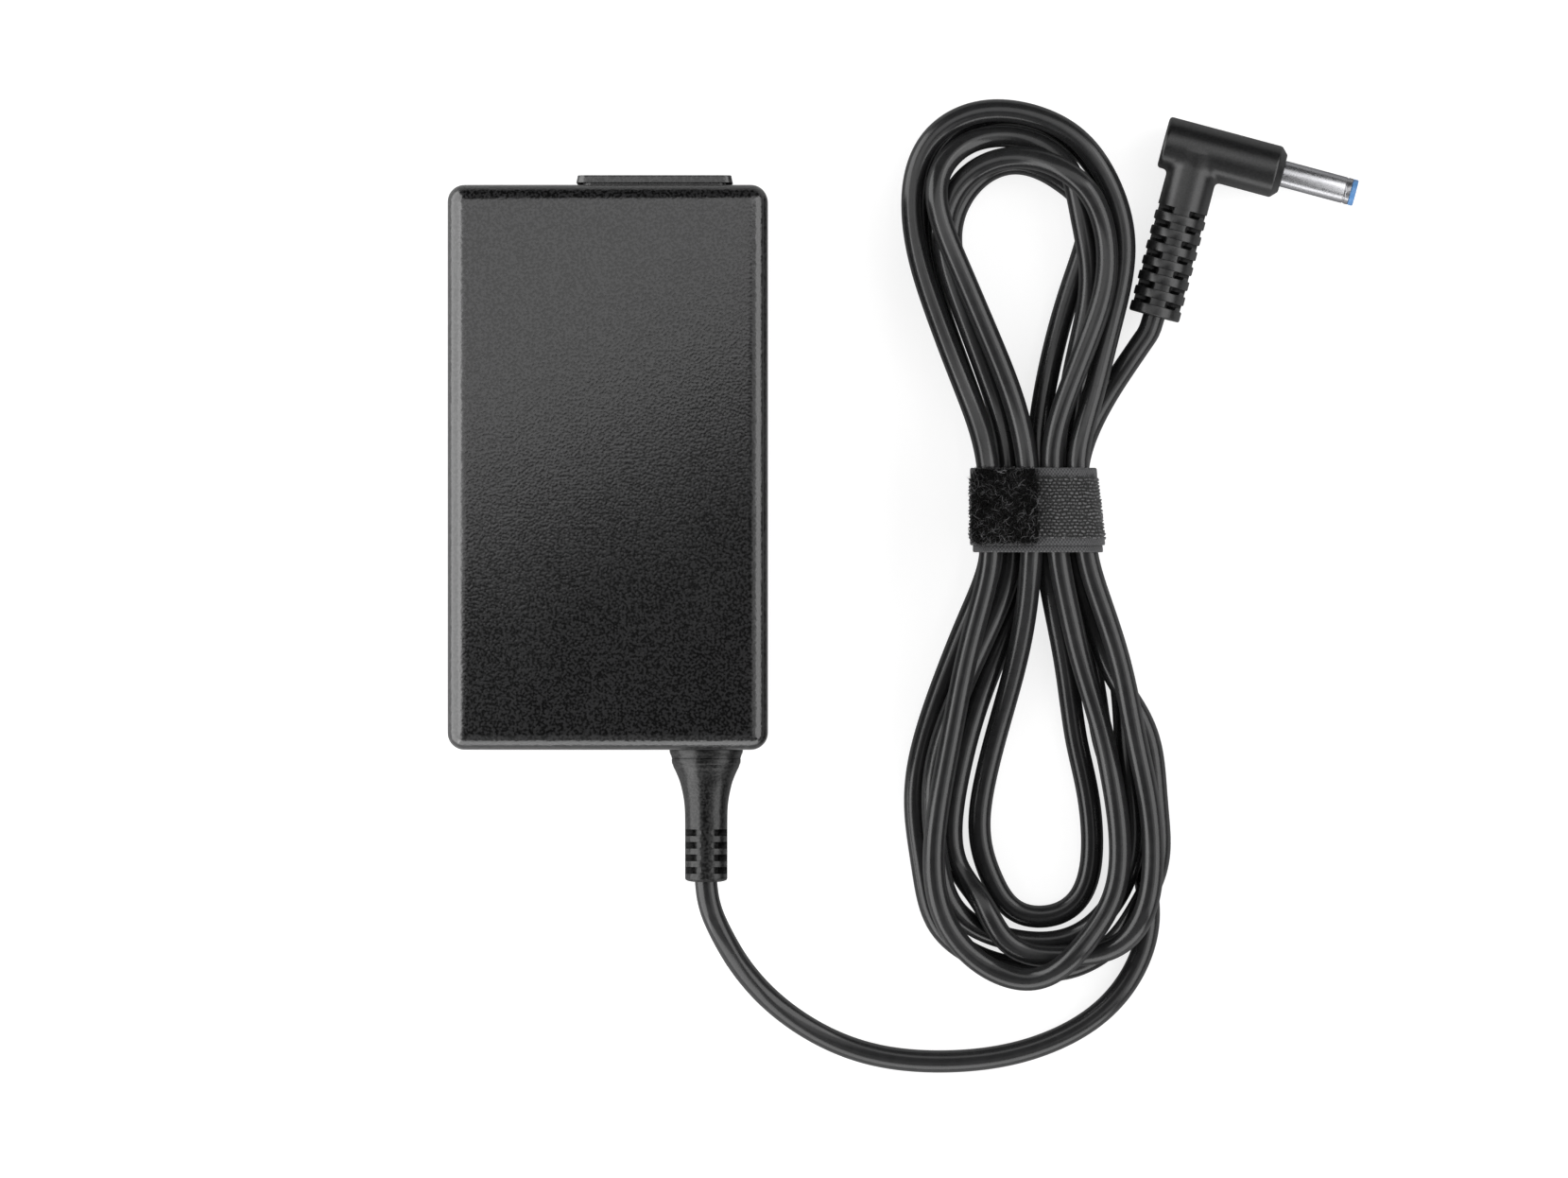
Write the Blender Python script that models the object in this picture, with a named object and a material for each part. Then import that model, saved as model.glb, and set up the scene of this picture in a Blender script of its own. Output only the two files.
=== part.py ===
"""Laptop power adapter: a two-shell brick, its mains inlet and inner parts, and a tied hank of cord.

Sizes are written in millimetres and made metres when a mesh is built. The origin is on the table
under the middle of the brick; +Y points out of the mains inlet, +Z up. The cord lies on z = 0.
"""
import math

import bmesh
import bpy
import numpy as np
from mathutils import Matrix, Vector

MM = 0.001
GAP = 0.3                      # air between pieces that touch in the real adapter

# ---- case ---------------------------------------------------------------------------------
CASE_WIDTH = 54.1
CASE_LENGTH = 95.4
CASE_HEIGHT = 28.5
CASE_Y = -0.8                  # the inlet collar stands out 1.6 at +Y, so the case lies 0.8 back
CORNER = 2.9                   # plan corner radius
EDGE = 2.6                     # soft rounding of the top and bottom edges
WALL = 2.0
DRAFT = 0.05                   # how far the walls lean in towards the top and the bottom
LIP = 1.5                      # height of the tongue that joins the shells
SEAM_Z = CASE_HEIGHT / 2
FRONT_Y = CASE_Y + CASE_LENGTH / 2
BACK_Y = CASE_Y - CASE_LENGTH / 2

# ---- mains inlet: three pins in a trefoil recess ---------------------------------------------
INLET_X = 7.9
COLLAR_WIDTH, COLLAR_HEIGHT = 26.4, 20.0
COLLAR_SLANT = 0.2             # the collar's sides draw in by this much towards its face
COLLAR_PROUD = 1.6
INLET_NECK = (24.0, 17.4)
RECESS_DEPTH = 13.0
SOCKET_FLOOR = 3.5             # thickness behind the recess
PIN_TAIL = 2.5                 # the pins stand out this far behind the socket
TREFOIL_MEAN, TREFOIL_LOBE = 6.3, 1.75
PIN_D = 2.36
PINS = {"line_pin": (-4.3, -2.07), "neutral_pin": (4.3, -2.07), "earth_pin": (0.0, 4.13)}

# ---- cord and its strain relief ---------------------------------------------------------------
CORD_D = 3.8
CORD_R = CORD_D / 2
RELIEF_X = 16.6
RELIEF_END_Y = -70.86
RELIEF_R = 3.58                # the slotted end
SLOT_WIDTH = 1.1
SLOT_PITCH = 2.12
SPINE = 1.7                    # width of the ridge left between two slots
NOTCH_R = 5.0                  # the groove that the case wall sits in
HEEL = 3.6                     # how far the relief reaches inside the case wall

# ---- tie and hank -------------------------------------------------------------------------------
TIE = (72.0, -7.95)            # plan centre of the tie
TAPE_WIDTH = 13.1
TAPE = 0.45                    # thickness of one wrap
WRAP_SHIFT = 1.2               # the outer wrap lies this much nearer the top loops
COLUMNS = (-7.5, -0.95, 3.2, 7.6)  # cords that lie side by side in the tie, from its centre
ROW_RISE = 3.85                # from one row of cords to the next
ROW_Z = 2 * TAPE + GAP + CORD_R
TIED_LENGTH = 15.4             # the cords run straight this far through the tie
SPREAD, SHIFT = 0.0053, 0.0565  # the tie widens, and leans to +X, by so much a millimetre downwards
TAB_THICK = 0.9
TAB_LENGTH = 11.2
TAB_AXIS = (72.7, ROW_Z + 2 * ROW_RISE + CORD_R + GAP + 2 * TAPE + GAP + TAB_THICK / 2)

# ---- plug ----------------------------------------------------------------------------------------
PLUG_D = 8.9
PLUG_AT = Vector((100.0, 52.95, PLUG_D / 2))
PLUG_TURN = math.radians(-15.0)
PLUG_REAR, PLUG_FRONT = -6.06, 14.84
NECK_LENGTH = 29.0
NECK_R = 4.3
NECK_SLOTS = 7
NECK_SLOT_AT = -11.95          # the slot nearest the housing, along the neck
NECK_SLOT_PITCH = 2.64
BARREL_D = 4.5
BARREL_LENGTH = 12.5

# ---- inside the case ------------------------------------------------------------------------------
INLET_BACK_Y = FRONT_Y + COLLAR_PROUD - RECESS_DEPTH - SOCKET_FLOOR
BOARD_Z = 5.0
BOARD_THICK = 1.6
BOARD_X = 23.6
BOARD_Y = (-42.0, 26.5)
BOARD_POSTS = ((-21.0, -38.0), (21.0, -38.0), (-21.0, 22.0), (21.0, 22.0))
ON_BOARD = BOARD_Z + BOARD_THICK + GAP
WIRE_D = 1.4

# ---- colours (linear RGB, roughness, metallic) --------------------------------------------------
BLACK = ((0.012, 0.012, 0.013), 0.55, 0.0)
CORD_BLACK = ((0.03, 0.03, 0.032), 0.42, 0.0)
TAPE_BLACK = ((0.025, 0.025, 0.026), 0.9, 0.0)
CHROME = ((0.78, 0.78, 0.8), 0.16, 1.0)
BRASS = ((0.75, 0.6, 0.3), 0.3, 1.0)
ALUMINIUM = ((0.75, 0.75, 0.76), 0.4, 1.0)
BLUE = ((0.09, 0.26, 0.56), 0.4, 0.0)
GREEN = ((0.03, 0.16, 0.07), 0.5, 0.0)
YELLOW = ((0.75, 0.5, 0.06), 0.5, 0.0)
FERRITE = ((0.05, 0.05, 0.05), 0.7, 0.0)
COPPER = ((0.62, 0.25, 0.12), 0.3, 1.0)
SLEEVE_BLUE = ((0.04, 0.08, 0.25), 0.35, 0.0)
WHITE = ((0.7, 0.7, 0.68), 0.5, 0.0)


def clear_scene():
    for old in list(bpy.data.objects):
        bpy.data.objects.remove(old)


def material(name, finish):
    colour, roughness, metallic = finish
    made = bpy.data.materials.new(name)
    made.use_nodes = True
    shader = made.node_tree.nodes["Principled BSDF"]
    shader.inputs["Base Color"].default_value = (*colour, 1.0)
    shader.inputs["Roughness"].default_value = roughness
    shader.inputs["Metallic"].default_value = metallic
    made.diffuse_color = (*colour, 1.0)
    return made


def add_mesh(name, bm, finish, crease=35.0):
    """Turn a bmesh drawn in millimetres into a named object in metres."""
    bmesh.ops.recalc_face_normals(bm, faces=bm.faces)
    bmesh.ops.scale(bm, vec=(MM, MM, MM), verts=bm.verts)
    mesh = bpy.data.meshes.new(name)
    bm.to_mesh(mesh)
    bm.free()
    mesh.shade_smooth()
    mesh.set_sharp_from_angle(angle=math.radians(crease))
    made = bpy.data.objects.new(name, mesh)
    bpy.context.collection.objects.link(made)
    if finish:
        mesh.materials.append(material(name, finish))
    return made


# ---- drawing tools --------------------------------------------------------------------------------
def loft(rings, closed=False, bm=None):
    """Skin a row of rings with the same number of points; open rows get a cap at each end."""
    bm = bm or bmesh.new()
    rows = [[bm.verts.new(point) for point in ring] for ring in rings]
    count = len(rows[0])
    pairs = list(zip(rows, rows[1:]))
    if closed:
        pairs.append((rows[-1], rows[0]))
    for low, high in pairs:
        for i in range(count):
            j = (i + 1) % count
            bm.faces.new((low[i], low[j], high[j], high[i]))
    if not closed:
        bm.faces.new(list(reversed(rows[0])))
        bm.faces.new(rows[-1])
    return bm


def arc(radius, start, stop, steps):
    angles = [math.radians(start + (stop - start) * i / steps) for i in range(steps + 1)]
    return [(radius * math.cos(a), radius * math.sin(a)) for a in angles]


def circle(radius, sides=20):
    return arc(radius, 0, 360 - 360 / sides, sides - 1)


def rounded(half_u, half_v, radius, steps=4):
    """A rectangle with rounded corners, counter-clockwise from the middle of its right side."""
    corners = ((1, 1, 0), (-1, 1, 90), (-1, -1, 180), (1, -1, 270))
    points = []
    for side_u, side_v, start in corners:
        centre_u = side_u * (half_u - radius)
        centre_v = side_v * (half_v - radius)
        points += [(centre_u + u, centre_v + v) for u, v in arc(radius, start, start + 90, steps)]
    return points


def flat_ring(outline, z, at=(0, 0)):
    return [(u + at[0], v + at[1], z) for u, v in outline]


def upright_ring(outline, y, at=(0, 0)):
    """An outline stood up in the XZ plane, at depth y."""
    return [(u + at[0], y, v + at[1]) for u, v in outline]


def turned(profile, at, sides=20, closed=False, bm=None):
    """Revolve (along, radius) pairs about the Y direction through at = (x, z)."""
    rings = [upright_ring(circle(radius, sides), along, at) for along, radius in profile]
    return loft(rings, closed, bm)


def block(low, high, bevel=0.0, bm=None):
    """A box from its lowest to its highest corner, its edges cut by a chamfer."""
    bm = bm or bmesh.new()
    made = bmesh.ops.create_cube(bm, size=1.0)["verts"]
    size = Vector(high) - Vector(low)
    middle = (Vector(high) + Vector(low)) / 2
    bmesh.ops.scale(bm, vec=size, verts=made)
    bmesh.ops.translate(bm, vec=middle, verts=made)
    if bevel:
        edges = list({edge for vert in made for edge in vert.link_edges})
        bmesh.ops.bevel(bm, geom=edges, offset=bevel, segments=1, affect="EDGES", profile=0.5)
    return bm


def column(centre, radius, z_low, z_high, sides=16, bm=None):
    """An upright cylinder."""
    rings = [flat_ring(circle(radius, sides), z, centre) for z in (z_low, z_high)]
    return loft(rings, bm=bm)


def carve(target, cutter_bm, operation="DIFFERENCE"):
    """Cut a shape out of an object, or fuse it on, with a Boolean modifier."""
    cutter = add_mesh(target.name + "_cutter", cutter_bm, None)
    cutter.hide_render = True
    cutter.display_type = "WIRE"
    step = target.modifiers.new("cut", "BOOLEAN")
    step.operation = operation
    step.solver = "EXACT"
    step.object = cutter
    return target


def tube(name, points, finish, diameter, resolution):
    """A round tube along the given points, in millimetres, with filled caps."""
    data = bpy.data.curves.new(name, "CURVE")
    data.dimensions = "3D"
    data.render_resolution_u = 0
    data.bevel_depth = diameter / 2 * MM
    data.bevel_resolution = resolution
    data.use_fill_caps = True
    spline = data.splines.new("POLY")
    spline.points.add(len(points) - 1)
    for slot, point in zip(spline.points, points):
        slot.co = (point[0] * MM, point[1] * MM, point[2] * MM, 1.0)
    data.materials.append(material(name, finish))
    made = bpy.data.objects.new(name, data)
    bpy.context.collection.objects.link(made)
    return made


# ---- case shells ------------------------------------------------------------------------------------
def case_ring(inset, z):
    """The case's outline at height z, drawn in by inset all round."""
    half_x = CASE_WIDTH / 2 - inset
    half_y = CASE_LENGTH / 2 - inset
    return flat_ring(rounded(half_x, half_y, max(CORNER - inset, 0.8)), z, (0, CASE_Y))


def edge_rings(z_edge, side):
    """Rings that carry the wall round into the top (side 1) or the bottom (side -1)."""
    rings = []
    for u, v in arc(EDGE, 0, 90, 4):
        rings.append(case_ring(DRAFT + EDGE - u, z_edge - side * (EDGE - v)))
    return rings


def shell_cutouts():
    """The inlet's window and the cord's hole, which both halves share."""
    half_u = INLET_NECK[0] / 2 + GAP
    half_v = INLET_NECK[1] / 2 + GAP
    window = block((INLET_X - half_u, FRONT_Y - 6, SEAM_Z - half_v),
                   (INLET_X + half_u, FRONT_Y + 6, SEAM_Z + half_v))
    hole = NOTCH_R + GAP
    return turned([(BACK_Y - 4, hole), (BACK_Y + 6, hole)], (RELIEF_X, SEAM_Z), bm=window)


def make_upper_shell():
    seam = SEAM_Z + GAP / 2
    rings = [case_ring(WALL + 2 * DRAFT, CASE_HEIGHT - WALL),
             case_ring(WALL, seam + LIP),
             case_ring(WALL / 2, seam + LIP),
             case_ring(WALL / 2, seam),
             case_ring(0.25, seam),
             case_ring(0, seam + 0.25)]
    rings += edge_rings(CASE_HEIGHT, 1)
    shell = add_mesh("upper_shell", loft(rings), BLACK)
    return carve(shell, shell_cutouts())


def make_lower_shell():
    seam = SEAM_Z - GAP / 2
    tongue = WALL / 2 + GAP
    rings = [case_ring(WALL + 2 * DRAFT, WALL),
             case_ring(WALL, seam + LIP),
             case_ring(tongue, seam + LIP),
             case_ring(tongue, seam),
             case_ring(0.25, seam),
             case_ring(0, seam - 0.25)]
    rings += edge_rings(0, -1)
    shell = add_mesh("lower_shell", loft(rings), BLACK)
    carve(shell, shell_cutouts())
    posts = bmesh.new()
    for x, y in BOARD_POSTS:
        column((x, y), 1.8, WALL - 0.5, BOARD_Z - GAP, 12, posts)
    return carve(shell, posts, "UNION")


# ---- mains inlet ---------------------------------------------------------------------------------------
def trefoil(grow=0.0):
    """The recess's outline: three round lobes, one round each pin, from one cosine."""
    points = []
    for i in range(36):
        angle = math.radians(10 * i)
        radius = TREFOIL_MEAN + grow + TREFOIL_LOBE * math.cos(3 * (angle - math.pi / 2))
        points.append((radius * math.cos(angle), radius * math.sin(angle)))
    return points


def make_inlet():
    at = (INLET_X, SEAM_Z)
    face = FRONT_Y + COLLAR_PROUD
    neck = (INLET_NECK[0] / 2, INLET_NECK[1] / 2)
    collar = (COLLAR_WIDTH / 2, COLLAR_HEIGHT / 2)
    rim = (COLLAR_WIDTH / 2 - COLLAR_SLANT, COLLAR_HEIGHT / 2)
    inner_wall = FRONT_Y - WALL - 2 * DRAFT - GAP
    section = [(INLET_BACK_Y, neck, 0.0),
               (inner_wall - 1.5, neck, 0.0),
               (inner_wall - 1.5, neck, 1.2),
               (inner_wall, neck, 1.2),
               (inner_wall, neck, 0.0),
               (FRONT_Y + GAP, neck, 0.0),
               (FRONT_Y + GAP, collar, 0.0),
               (face - 0.2, rim, 0.0),
               (face, rim, -0.2)]
    rings = [upright_ring(rounded(half[0] + grow, half[1] + grow, 1.6), y, at)
             for y, half, grow in section]
    inlet = add_mesh("inlet_socket", loft(rings), BLACK)
    recess = [upright_ring(trefoil(), face - RECESS_DEPTH, at),
              upright_ring(trefoil(), face - 0.6, at),
              upright_ring(trefoil(0.6), face + 0.6, at)]
    cutters = loft(recess)
    carve(inlet, cutters)
    holes = bmesh.new()
    for u, v in PINS.values():
        hole = [(face - RECESS_DEPTH - 5, PIN_D / 2 + GAP), (face - RECESS_DEPTH + 1, PIN_D / 2 + GAP)]
        turned(hole, (INLET_X + u, SEAM_Z + v), 12, bm=holes)
    carve(inlet, holes)
    for name, (u, v) in PINS.items():
        tip = face - 2.0
        profile = [(INLET_BACK_Y - PIN_TAIL, PIN_D / 2), (tip - 0.5, PIN_D / 2), (tip, PIN_D / 2 - 0.5)]
        add_mesh(name, turned(profile, (INLET_X + u, SEAM_Z + v), 12), BRASS)


# ---- slotted strain reliefs ---------------------------------------------------------------------------
def slot_pair(along, radius, core, bm, half_turn=0.0):
    """Two ring-shaped slots round a relief along Y at the origin, with a spine between them."""
    spine_angle = math.degrees(math.asin(SPINE / 2 / radius))
    outer = radius + 1.0
    for side in (-1, 1):
        start = -90 + spine_angle + 90 * (side - 1) + half_turn
        stop = 90 - spine_angle + 90 * (side - 1) + half_turn
        outline = arc(outer, start, stop, 6) + arc(core, stop, start, 6)
        loft([upright_ring(outline, along), upright_ring(outline, along + SLOT_WIDTH)], bm=bm)
    return bm


def make_output_relief():
    at = (RELIEF_X, SEAM_Z)
    inner_wall = BACK_Y + WALL + 2 * DRAFT + GAP
    outside = BACK_Y - GAP
    profile = [(inner_wall + HEEL, 2.6),
               (inner_wall + 1.4, 2.6),
               (inner_wall + 1.4, 6.3),
               (inner_wall, 6.3),
               (inner_wall, NOTCH_R),
               (outside, NOTCH_R),
               (outside, 6.15),
               (outside - 1.0, 5.85),
               (outside - 2.0, 5.76),
               (outside - 2.7, 5.5),
               (outside - 3.35, 5.18),
               (outside - 5.0, 4.5),
               (outside - 6.6, 4.08),
               (outside - 8.2, 3.78),
               (outside - 9.9, RELIEF_R),
               (RELIEF_END_Y + 0.5, RELIEF_R),
               (RELIEF_END_Y, RELIEF_R - 0.5)]
    relief = add_mesh("output_relief", turned(profile, at, 24), BLACK)
    slots = bmesh.new()
    for i in range(4):
        slot_pair(RELIEF_END_Y + 1.45 + SLOT_PITCH * i, RELIEF_R, 2.4, slots)
    bmesh.ops.translate(slots, vec=(RELIEF_X, 0, SEAM_Z), verts=slots.verts)
    return carve(relief, slots)


# ---- plug ------------------------------------------------------------------------------------------------
def to_plug(bm, quarter=False):
    """Move a shape drawn along local Y to the plug; quarter turns local Y into the barrel's way."""
    turn = Matrix.Rotation(PLUG_TURN - (math.pi / 2 if quarter else 0), 4, "Z")
    bmesh.ops.transform(bm, matrix=Matrix.Translation(PLUG_AT) @ turn, verts=bm.verts)
    return bm


def make_plug():
    radius = PLUG_D / 2
    axis = (0, 0)
    body = turned([(PLUG_REAR, radius - 0.35), (PLUG_REAR + 0.35, radius),
                   (PLUG_FRONT - 1.2, radius), (PLUG_FRONT, radius - 1.2)], axis, 24)
    housing = add_mesh("plug_housing", to_plug(body, quarter=True), BLACK)
    neck = [(-NECK_LENGTH, 3.9), (-NECK_LENGTH + 0.4, NECK_R), (-10.2, NECK_R), (-9.6, 4.4),
            (-7.5, 4.33), (-5.6, 4.36), (-4.2, 4.4), (0.0, 4.2)]
    carve(housing, to_plug(turned(neck, axis, 24)), "UNION")
    slots = bmesh.new()
    for i in range(NECK_SLOTS):
        slot_pair(NECK_SLOT_AT - NECK_SLOT_PITCH * i, NECK_R, 2.9, slots, 20.0 if i % 2 else -20.0)
    carve(housing, to_plug(slots))
    start = PLUG_FRONT + GAP
    tip = start + BARREL_LENGTH
    outer = BARREL_D / 2
    barrel = [(start, outer), (tip - 2.0, outer), (tip - 1.9, outer - 0.1), (tip - 1.7, outer - 0.1),
              (tip - 1.6, outer), (tip - 0.9, outer), (tip - 0.9, outer - 0.3), (start, outer - 0.3)]
    add_mesh("plug_barrel", to_plug(turned(barrel, axis, 24, closed=True), quarter=True), CHROME)
    liner = [(start, 1.65), (tip - 0.6, 1.65), (tip - 0.6, outer - 0.05), (tip - 0.1, outer - 0.05),
             (tip, outer - 0.2), (tip, 1.5), (start + 0.8, 1.5), (start + 0.8, 0.7), (start, 0.7)]
    add_mesh("plug_liner", to_plug(turned(liner, axis, 20, closed=True), quarter=True), BLUE)
    pin = [(start, 0.35), (tip - 1.2, 0.35), (tip - 0.9, 0.15)]
    add_mesh("plug_centre_pin", to_plug(turned(pin, axis, 8), quarter=True), CHROME)


# ---- the cord's route ----------------------------------------------------------------------------
# Cords in the tie: (column, row), in the order in which the cord passes through it.
SLOTS = ((2, 0), (0, 0), (2, 1), (1, 2), (1, 1), (1, 0), (3, 2), (0, 2), (2, 2), (0, 1), (3, 0))
# Each turn is a top loop and a bottom loop. A loop is written from the tie's centre: the widest
# point on the way out, the far end, the widest point on the way back; then how long the cord keeps
# straight as it leaves, as it returns and at its widest (shares of the leg); then the layer at the
# three points.
TOP_LOOPS = (
    ((14.8, 40.7), (-6.0, 67.3), (-19.3, 47.5), (0.25, 0.15, 0.20), (0, 0, 0)),
    ((9.6, 39.4), (-5.0, 63.8), (-16.1, 52.9), (0.30, 0.25, 0.20), (1, 0.2, 2)),
    ((9.9, 50.4), (0.0, 59.6), (-14.8, 46.0), (0.50, 0.20, 0.15), (0, 0, 0)),
    ((14.7, 44.9), (-7.2, 67.3), (-20.2, 51.9), (0.30, 0.15, 0.35), (1, 1, 1)),
    ((13.2, 40.7), (-2.9, 59.9), (-15.1, 49.0), (0.25, 0.25, 0.20), (2, 1, 1)),
)
LOW_LOOPS = (
    ((-20.0, -48.5), (2.2, -76.3), (20.8, -58.5), (0.05, 0.05, 0.24), (0, 0, 1)),
    ((-9.2, -57.0), (0.9, -71.2), (9.9, -58.0), (0.35, 0.00, 0.42), (0, 0, 0)),
    ((-14.1, -58.5), (5.0, -76.2), (20.3, -59.7), (0.05, 0.00, 0.35), (0, 1, 2)),
    ((-16.8, -57.4), (-2.3, -79.0), (15.1, -55.8), (0.05, 0.15, 0.25), (2, 1.2, 2)),
    ((-17.2, -48.4), (0.0, -74.0), (17.7, -55.8), (0.25, 0.00, 0.35), (1, 0, 1)),
)
LAYER = 4.2                    # height from one layer of loose cord to the next
ROUND = 0.59                   # handle of the end curves; 0.55 would make them quarter ellipses
LEAD_ROUTE = (
    (16.6, -71.16, 14.25), (17.3, -75.3, 14.0), (19.6, -80.5, 12.0), (23.1, -86.1, 8.6),
    (28.1, -91.5, 5.2), (35.0, -96.4, 2.9), (42.5, -99.7, 2.0), (49.4, -101.1, 1.9),
    (56.0, -101.4, 1.9), (63.0, -101.1, 1.9), (71.1, -99.5, 1.9), (79.6, -95.8, 1.9),
    (86.2, -90.6, 1.9), (89.7, -84.4, 1.9), (90.6, -78.0, 1.9), (90.4, -71.3, 1.9),
    (89.4, -63.2, 1.9), (87.4, -54.4, 1.9), (84.5, -44.0, 1.9), (81.4, -33.6, 1.9),
    (79.7, -24.8, 1.9),
)
TAIL_ROUTE = ((81.2, 3.6, 3.4), (82.8, 8.6, 3.4), (85.3, 12.9, 3.5), (88.2, 17.2, 3.9))
LEAD_END = (90.6, -78.0, CORD_R)  # where the lead becomes the hank
FINE = 2.5                     # spacing of the points that the cord is laid with
CLEARANCE = 0.75               # air between cords while they are laid
LOOP_POINTS = 24


def lean(x, y):
    """Where a point of the straight tie goes when the tie widens downwards."""
    down = TIE[1] + TAPE_WIDTH / 2 + WRAP_SHIFT / 2 - y
    return TIE[0] + (x - TIE[0]) * (1 + SPREAD * down) + SHIFT * down


def tied(index, side):
    """The point where pass number index enters or leaves the tie, at its upper (1) or lower end."""
    column_, row = SLOTS[index]
    x = TIE[0] + COLUMNS[column_]
    if row == 1:
        x += (COLUMNS[column_ + 1] - COLUMNS[column_]) / 2
    y = TIE[1] + side * TIED_LENGTH / 2
    return np.array((lean(x, y), y, ROW_Z + ROW_RISE * row))


def bezier(p0, p1, p2, p3, steps=16):
    t = (np.arange(steps) / steps)[:, None]
    return p0 * (1 - t) ** 3 + 3 * p1 * t * (1 - t) ** 2 + 3 * p2 * t * t * (1 - t) + p3 * t ** 3


def loop(leave, arrive, shape):
    """One end loop: two S-shaped legs and two quarter turns round the far end."""
    out_at, far_at, back_at, hold, layers = shape
    marks = []
    for (x, y), layer in zip((out_at, far_at, back_at), layers):
        marks.append(np.array((TIE[0] + x, TIE[1] + y, CORD_R + LAYER * layer)))
    out, far, back = marks

    def along(point, share, other):
        return np.array((0.0, share * (other[1] - point[1]), 0.0))

    def across(point, other):
        return np.array((ROUND * (other[0] - point[0]), 0.0, 0.0))

    return np.vstack((
        bezier(leave, leave + along(leave, hold[0], out), out + along(out, hold[2], leave), out),
        bezier(out, out + along(out, ROUND, far), far + across(far, out), far),
        bezier(far, far + across(far, back), back + along(back, ROUND, far), back),
        bezier(back, back + along(back, hold[2], arrive), arrive + along(arrive, hold[1], back), arrive)))


def smooth(points, steps=10):
    """A curve through all the points (Catmull-Rom)."""
    p = np.array(points, float)
    p = np.vstack((2 * p[0] - p[1], p, 2 * p[-1] - p[-2]))
    t = (np.arange(steps) / steps)[:, None]
    pieces = []
    for a, b, c, d in zip(p, p[1:], p[2:], p[3:]):
        pieces.append(b + 0.5 * t * (c - a + t * (2 * a - 5 * b + 4 * c - d + t * (3 * (b - c) + d - a))))
    return np.vstack(pieces + [p[-2:-1]])


def lengths(points):
    steps = np.linalg.norm(np.diff(points, axis=0), axis=1)
    return np.concatenate(([0.0], np.cumsum(steps)))


def at_lengths(points, wanted):
    run = lengths(points)
    return np.stack([np.interp(wanted, run, points[:, k]) for k in range(3)], axis=1)


def evenly(points, spacing):
    total = lengths(points)[-1]
    return at_lengths(points, np.linspace(0, total, round(total / spacing) + 1))


def cord_route():
    """The whole cord, from the strain relief to the plug, before it is laid."""
    dip = tied(0, -1) + np.array((0.6, -6.0, -0.8))
    pieces = [smooth(list(LEAD_ROUTE) + [dip, tied(0, -1)])]
    for turn, (top, low) in enumerate(zip(TOP_LOOPS, LOW_LOOPS)):
        up, down, again = 2 * turn, 2 * turn + 1, 2 * turn + 2
        pieces.append(loop(tied(up, 1), tied(down, 1), top))
        pieces.append(loop(tied(down, -1), tied(again, -1), low))
    neck_way = Matrix.Rotation(PLUG_TURN, 3, "Z") @ Vector((0, -1, 0))
    end = PLUG_AT + neck_way * (NECK_LENGTH + GAP)
    before = end + neck_way * CORD_D / 2
    pieces.append(smooth([tied(10, -1), tied(10, 1)] + list(TAIL_ROUTE) + [tuple(before), tuple(end)]))
    return evenly(np.vstack(pieces), FINE)


def lay(nodes, spread, home, held, rounds, distance, weight):
    """Push cords that touch apart, and let them sink and straighten, until they lie clear.

    spread turns the moving nodes into the points at which touching is tested.
    """
    run = lengths(spread @ nodes)
    first, second = np.triu_indices(len(run), 1)
    apart = run[second] - run[first] > 3.5 * CORD_D
    first, second = first[apart], second[apart]
    share = spread.sum(axis=0)[:, None]
    for step in range(rounds):
        points = spread @ nodes
        if step % 25 == 0:
            near = np.linalg.norm(points[first] - points[second], axis=1) < 2 * distance
            one, two = first[near], second[near]
        between = points[one] - points[two]
        space = np.linalg.norm(between, axis=1)
        touch = space < distance
        push = between[touch] / space[touch][:, None] * (0.35 * (distance - space[touch]))[:, None]
        pushed = np.zeros_like(points)
        np.add.at(pushed, one[touch], push)
        np.add.at(pushed, two[touch], -push)
        move = spread.T @ pushed / share
        if weight:
            calm = 1.0 if step < rounds - 60 else 0.5
            bend = (4 * nodes[1:-3] + 4 * nodes[3:-1] - nodes[:-4] - nodes[4:]) / 6 - nodes[2:-2]
            move[2:-2] += 0.5 * calm * bend
            if calm == 1.0:
                move[1:-1, 2] += 0.35 * ((nodes[:-2] + nodes[2:]) / 2 - nodes[1:-1])[:, 2]
                move[:, :2] += 0.03 * (home - nodes)[:, :2]
                move[:, 2] -= weight
        move[held] = 0.0
        nodes = nodes + np.clip(move, -0.5, 0.5)
        nodes[:, 2] = np.maximum(nodes[:, 2], CORD_R)
    return nodes


def in_tie(points):
    inside = np.abs(points[:, 1] - TIE[1]) < TIED_LENGTH / 2 + 0.01
    return inside & (points[:, 0] > TIE[0] - 15) & (points[:, 0] < TIE[0] + 15)


def laid_cord():
    home = cord_route()
    held = in_tie(home)
    held[:10] = True
    held[-4:] = True
    return lay(home, np.eye(len(home)), home, held, 500, CORD_D + CLEARANCE, 0.02)


def thin(points, count):
    """Fewer points, closest where the cord bends most, so that straight runs cost little."""
    points = evenly(points, FINE / 2)
    way = np.diff(points, axis=0)
    way /= np.linalg.norm(way, axis=1)[:, None]
    turn = np.linalg.norm(np.diff(way, axis=0), axis=1)
    density = 0.02 + np.sqrt(np.convolve(turn, np.ones(9) / 9, "same") / (FINE / 2))
    budget = np.concatenate(([0.0], np.cumsum(np.concatenate((density[:1], density)))))
    wanted = np.linspace(0, budget[-1], count)
    return at_lengths(points, np.interp(wanted, budget, lengths(points)))


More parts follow.
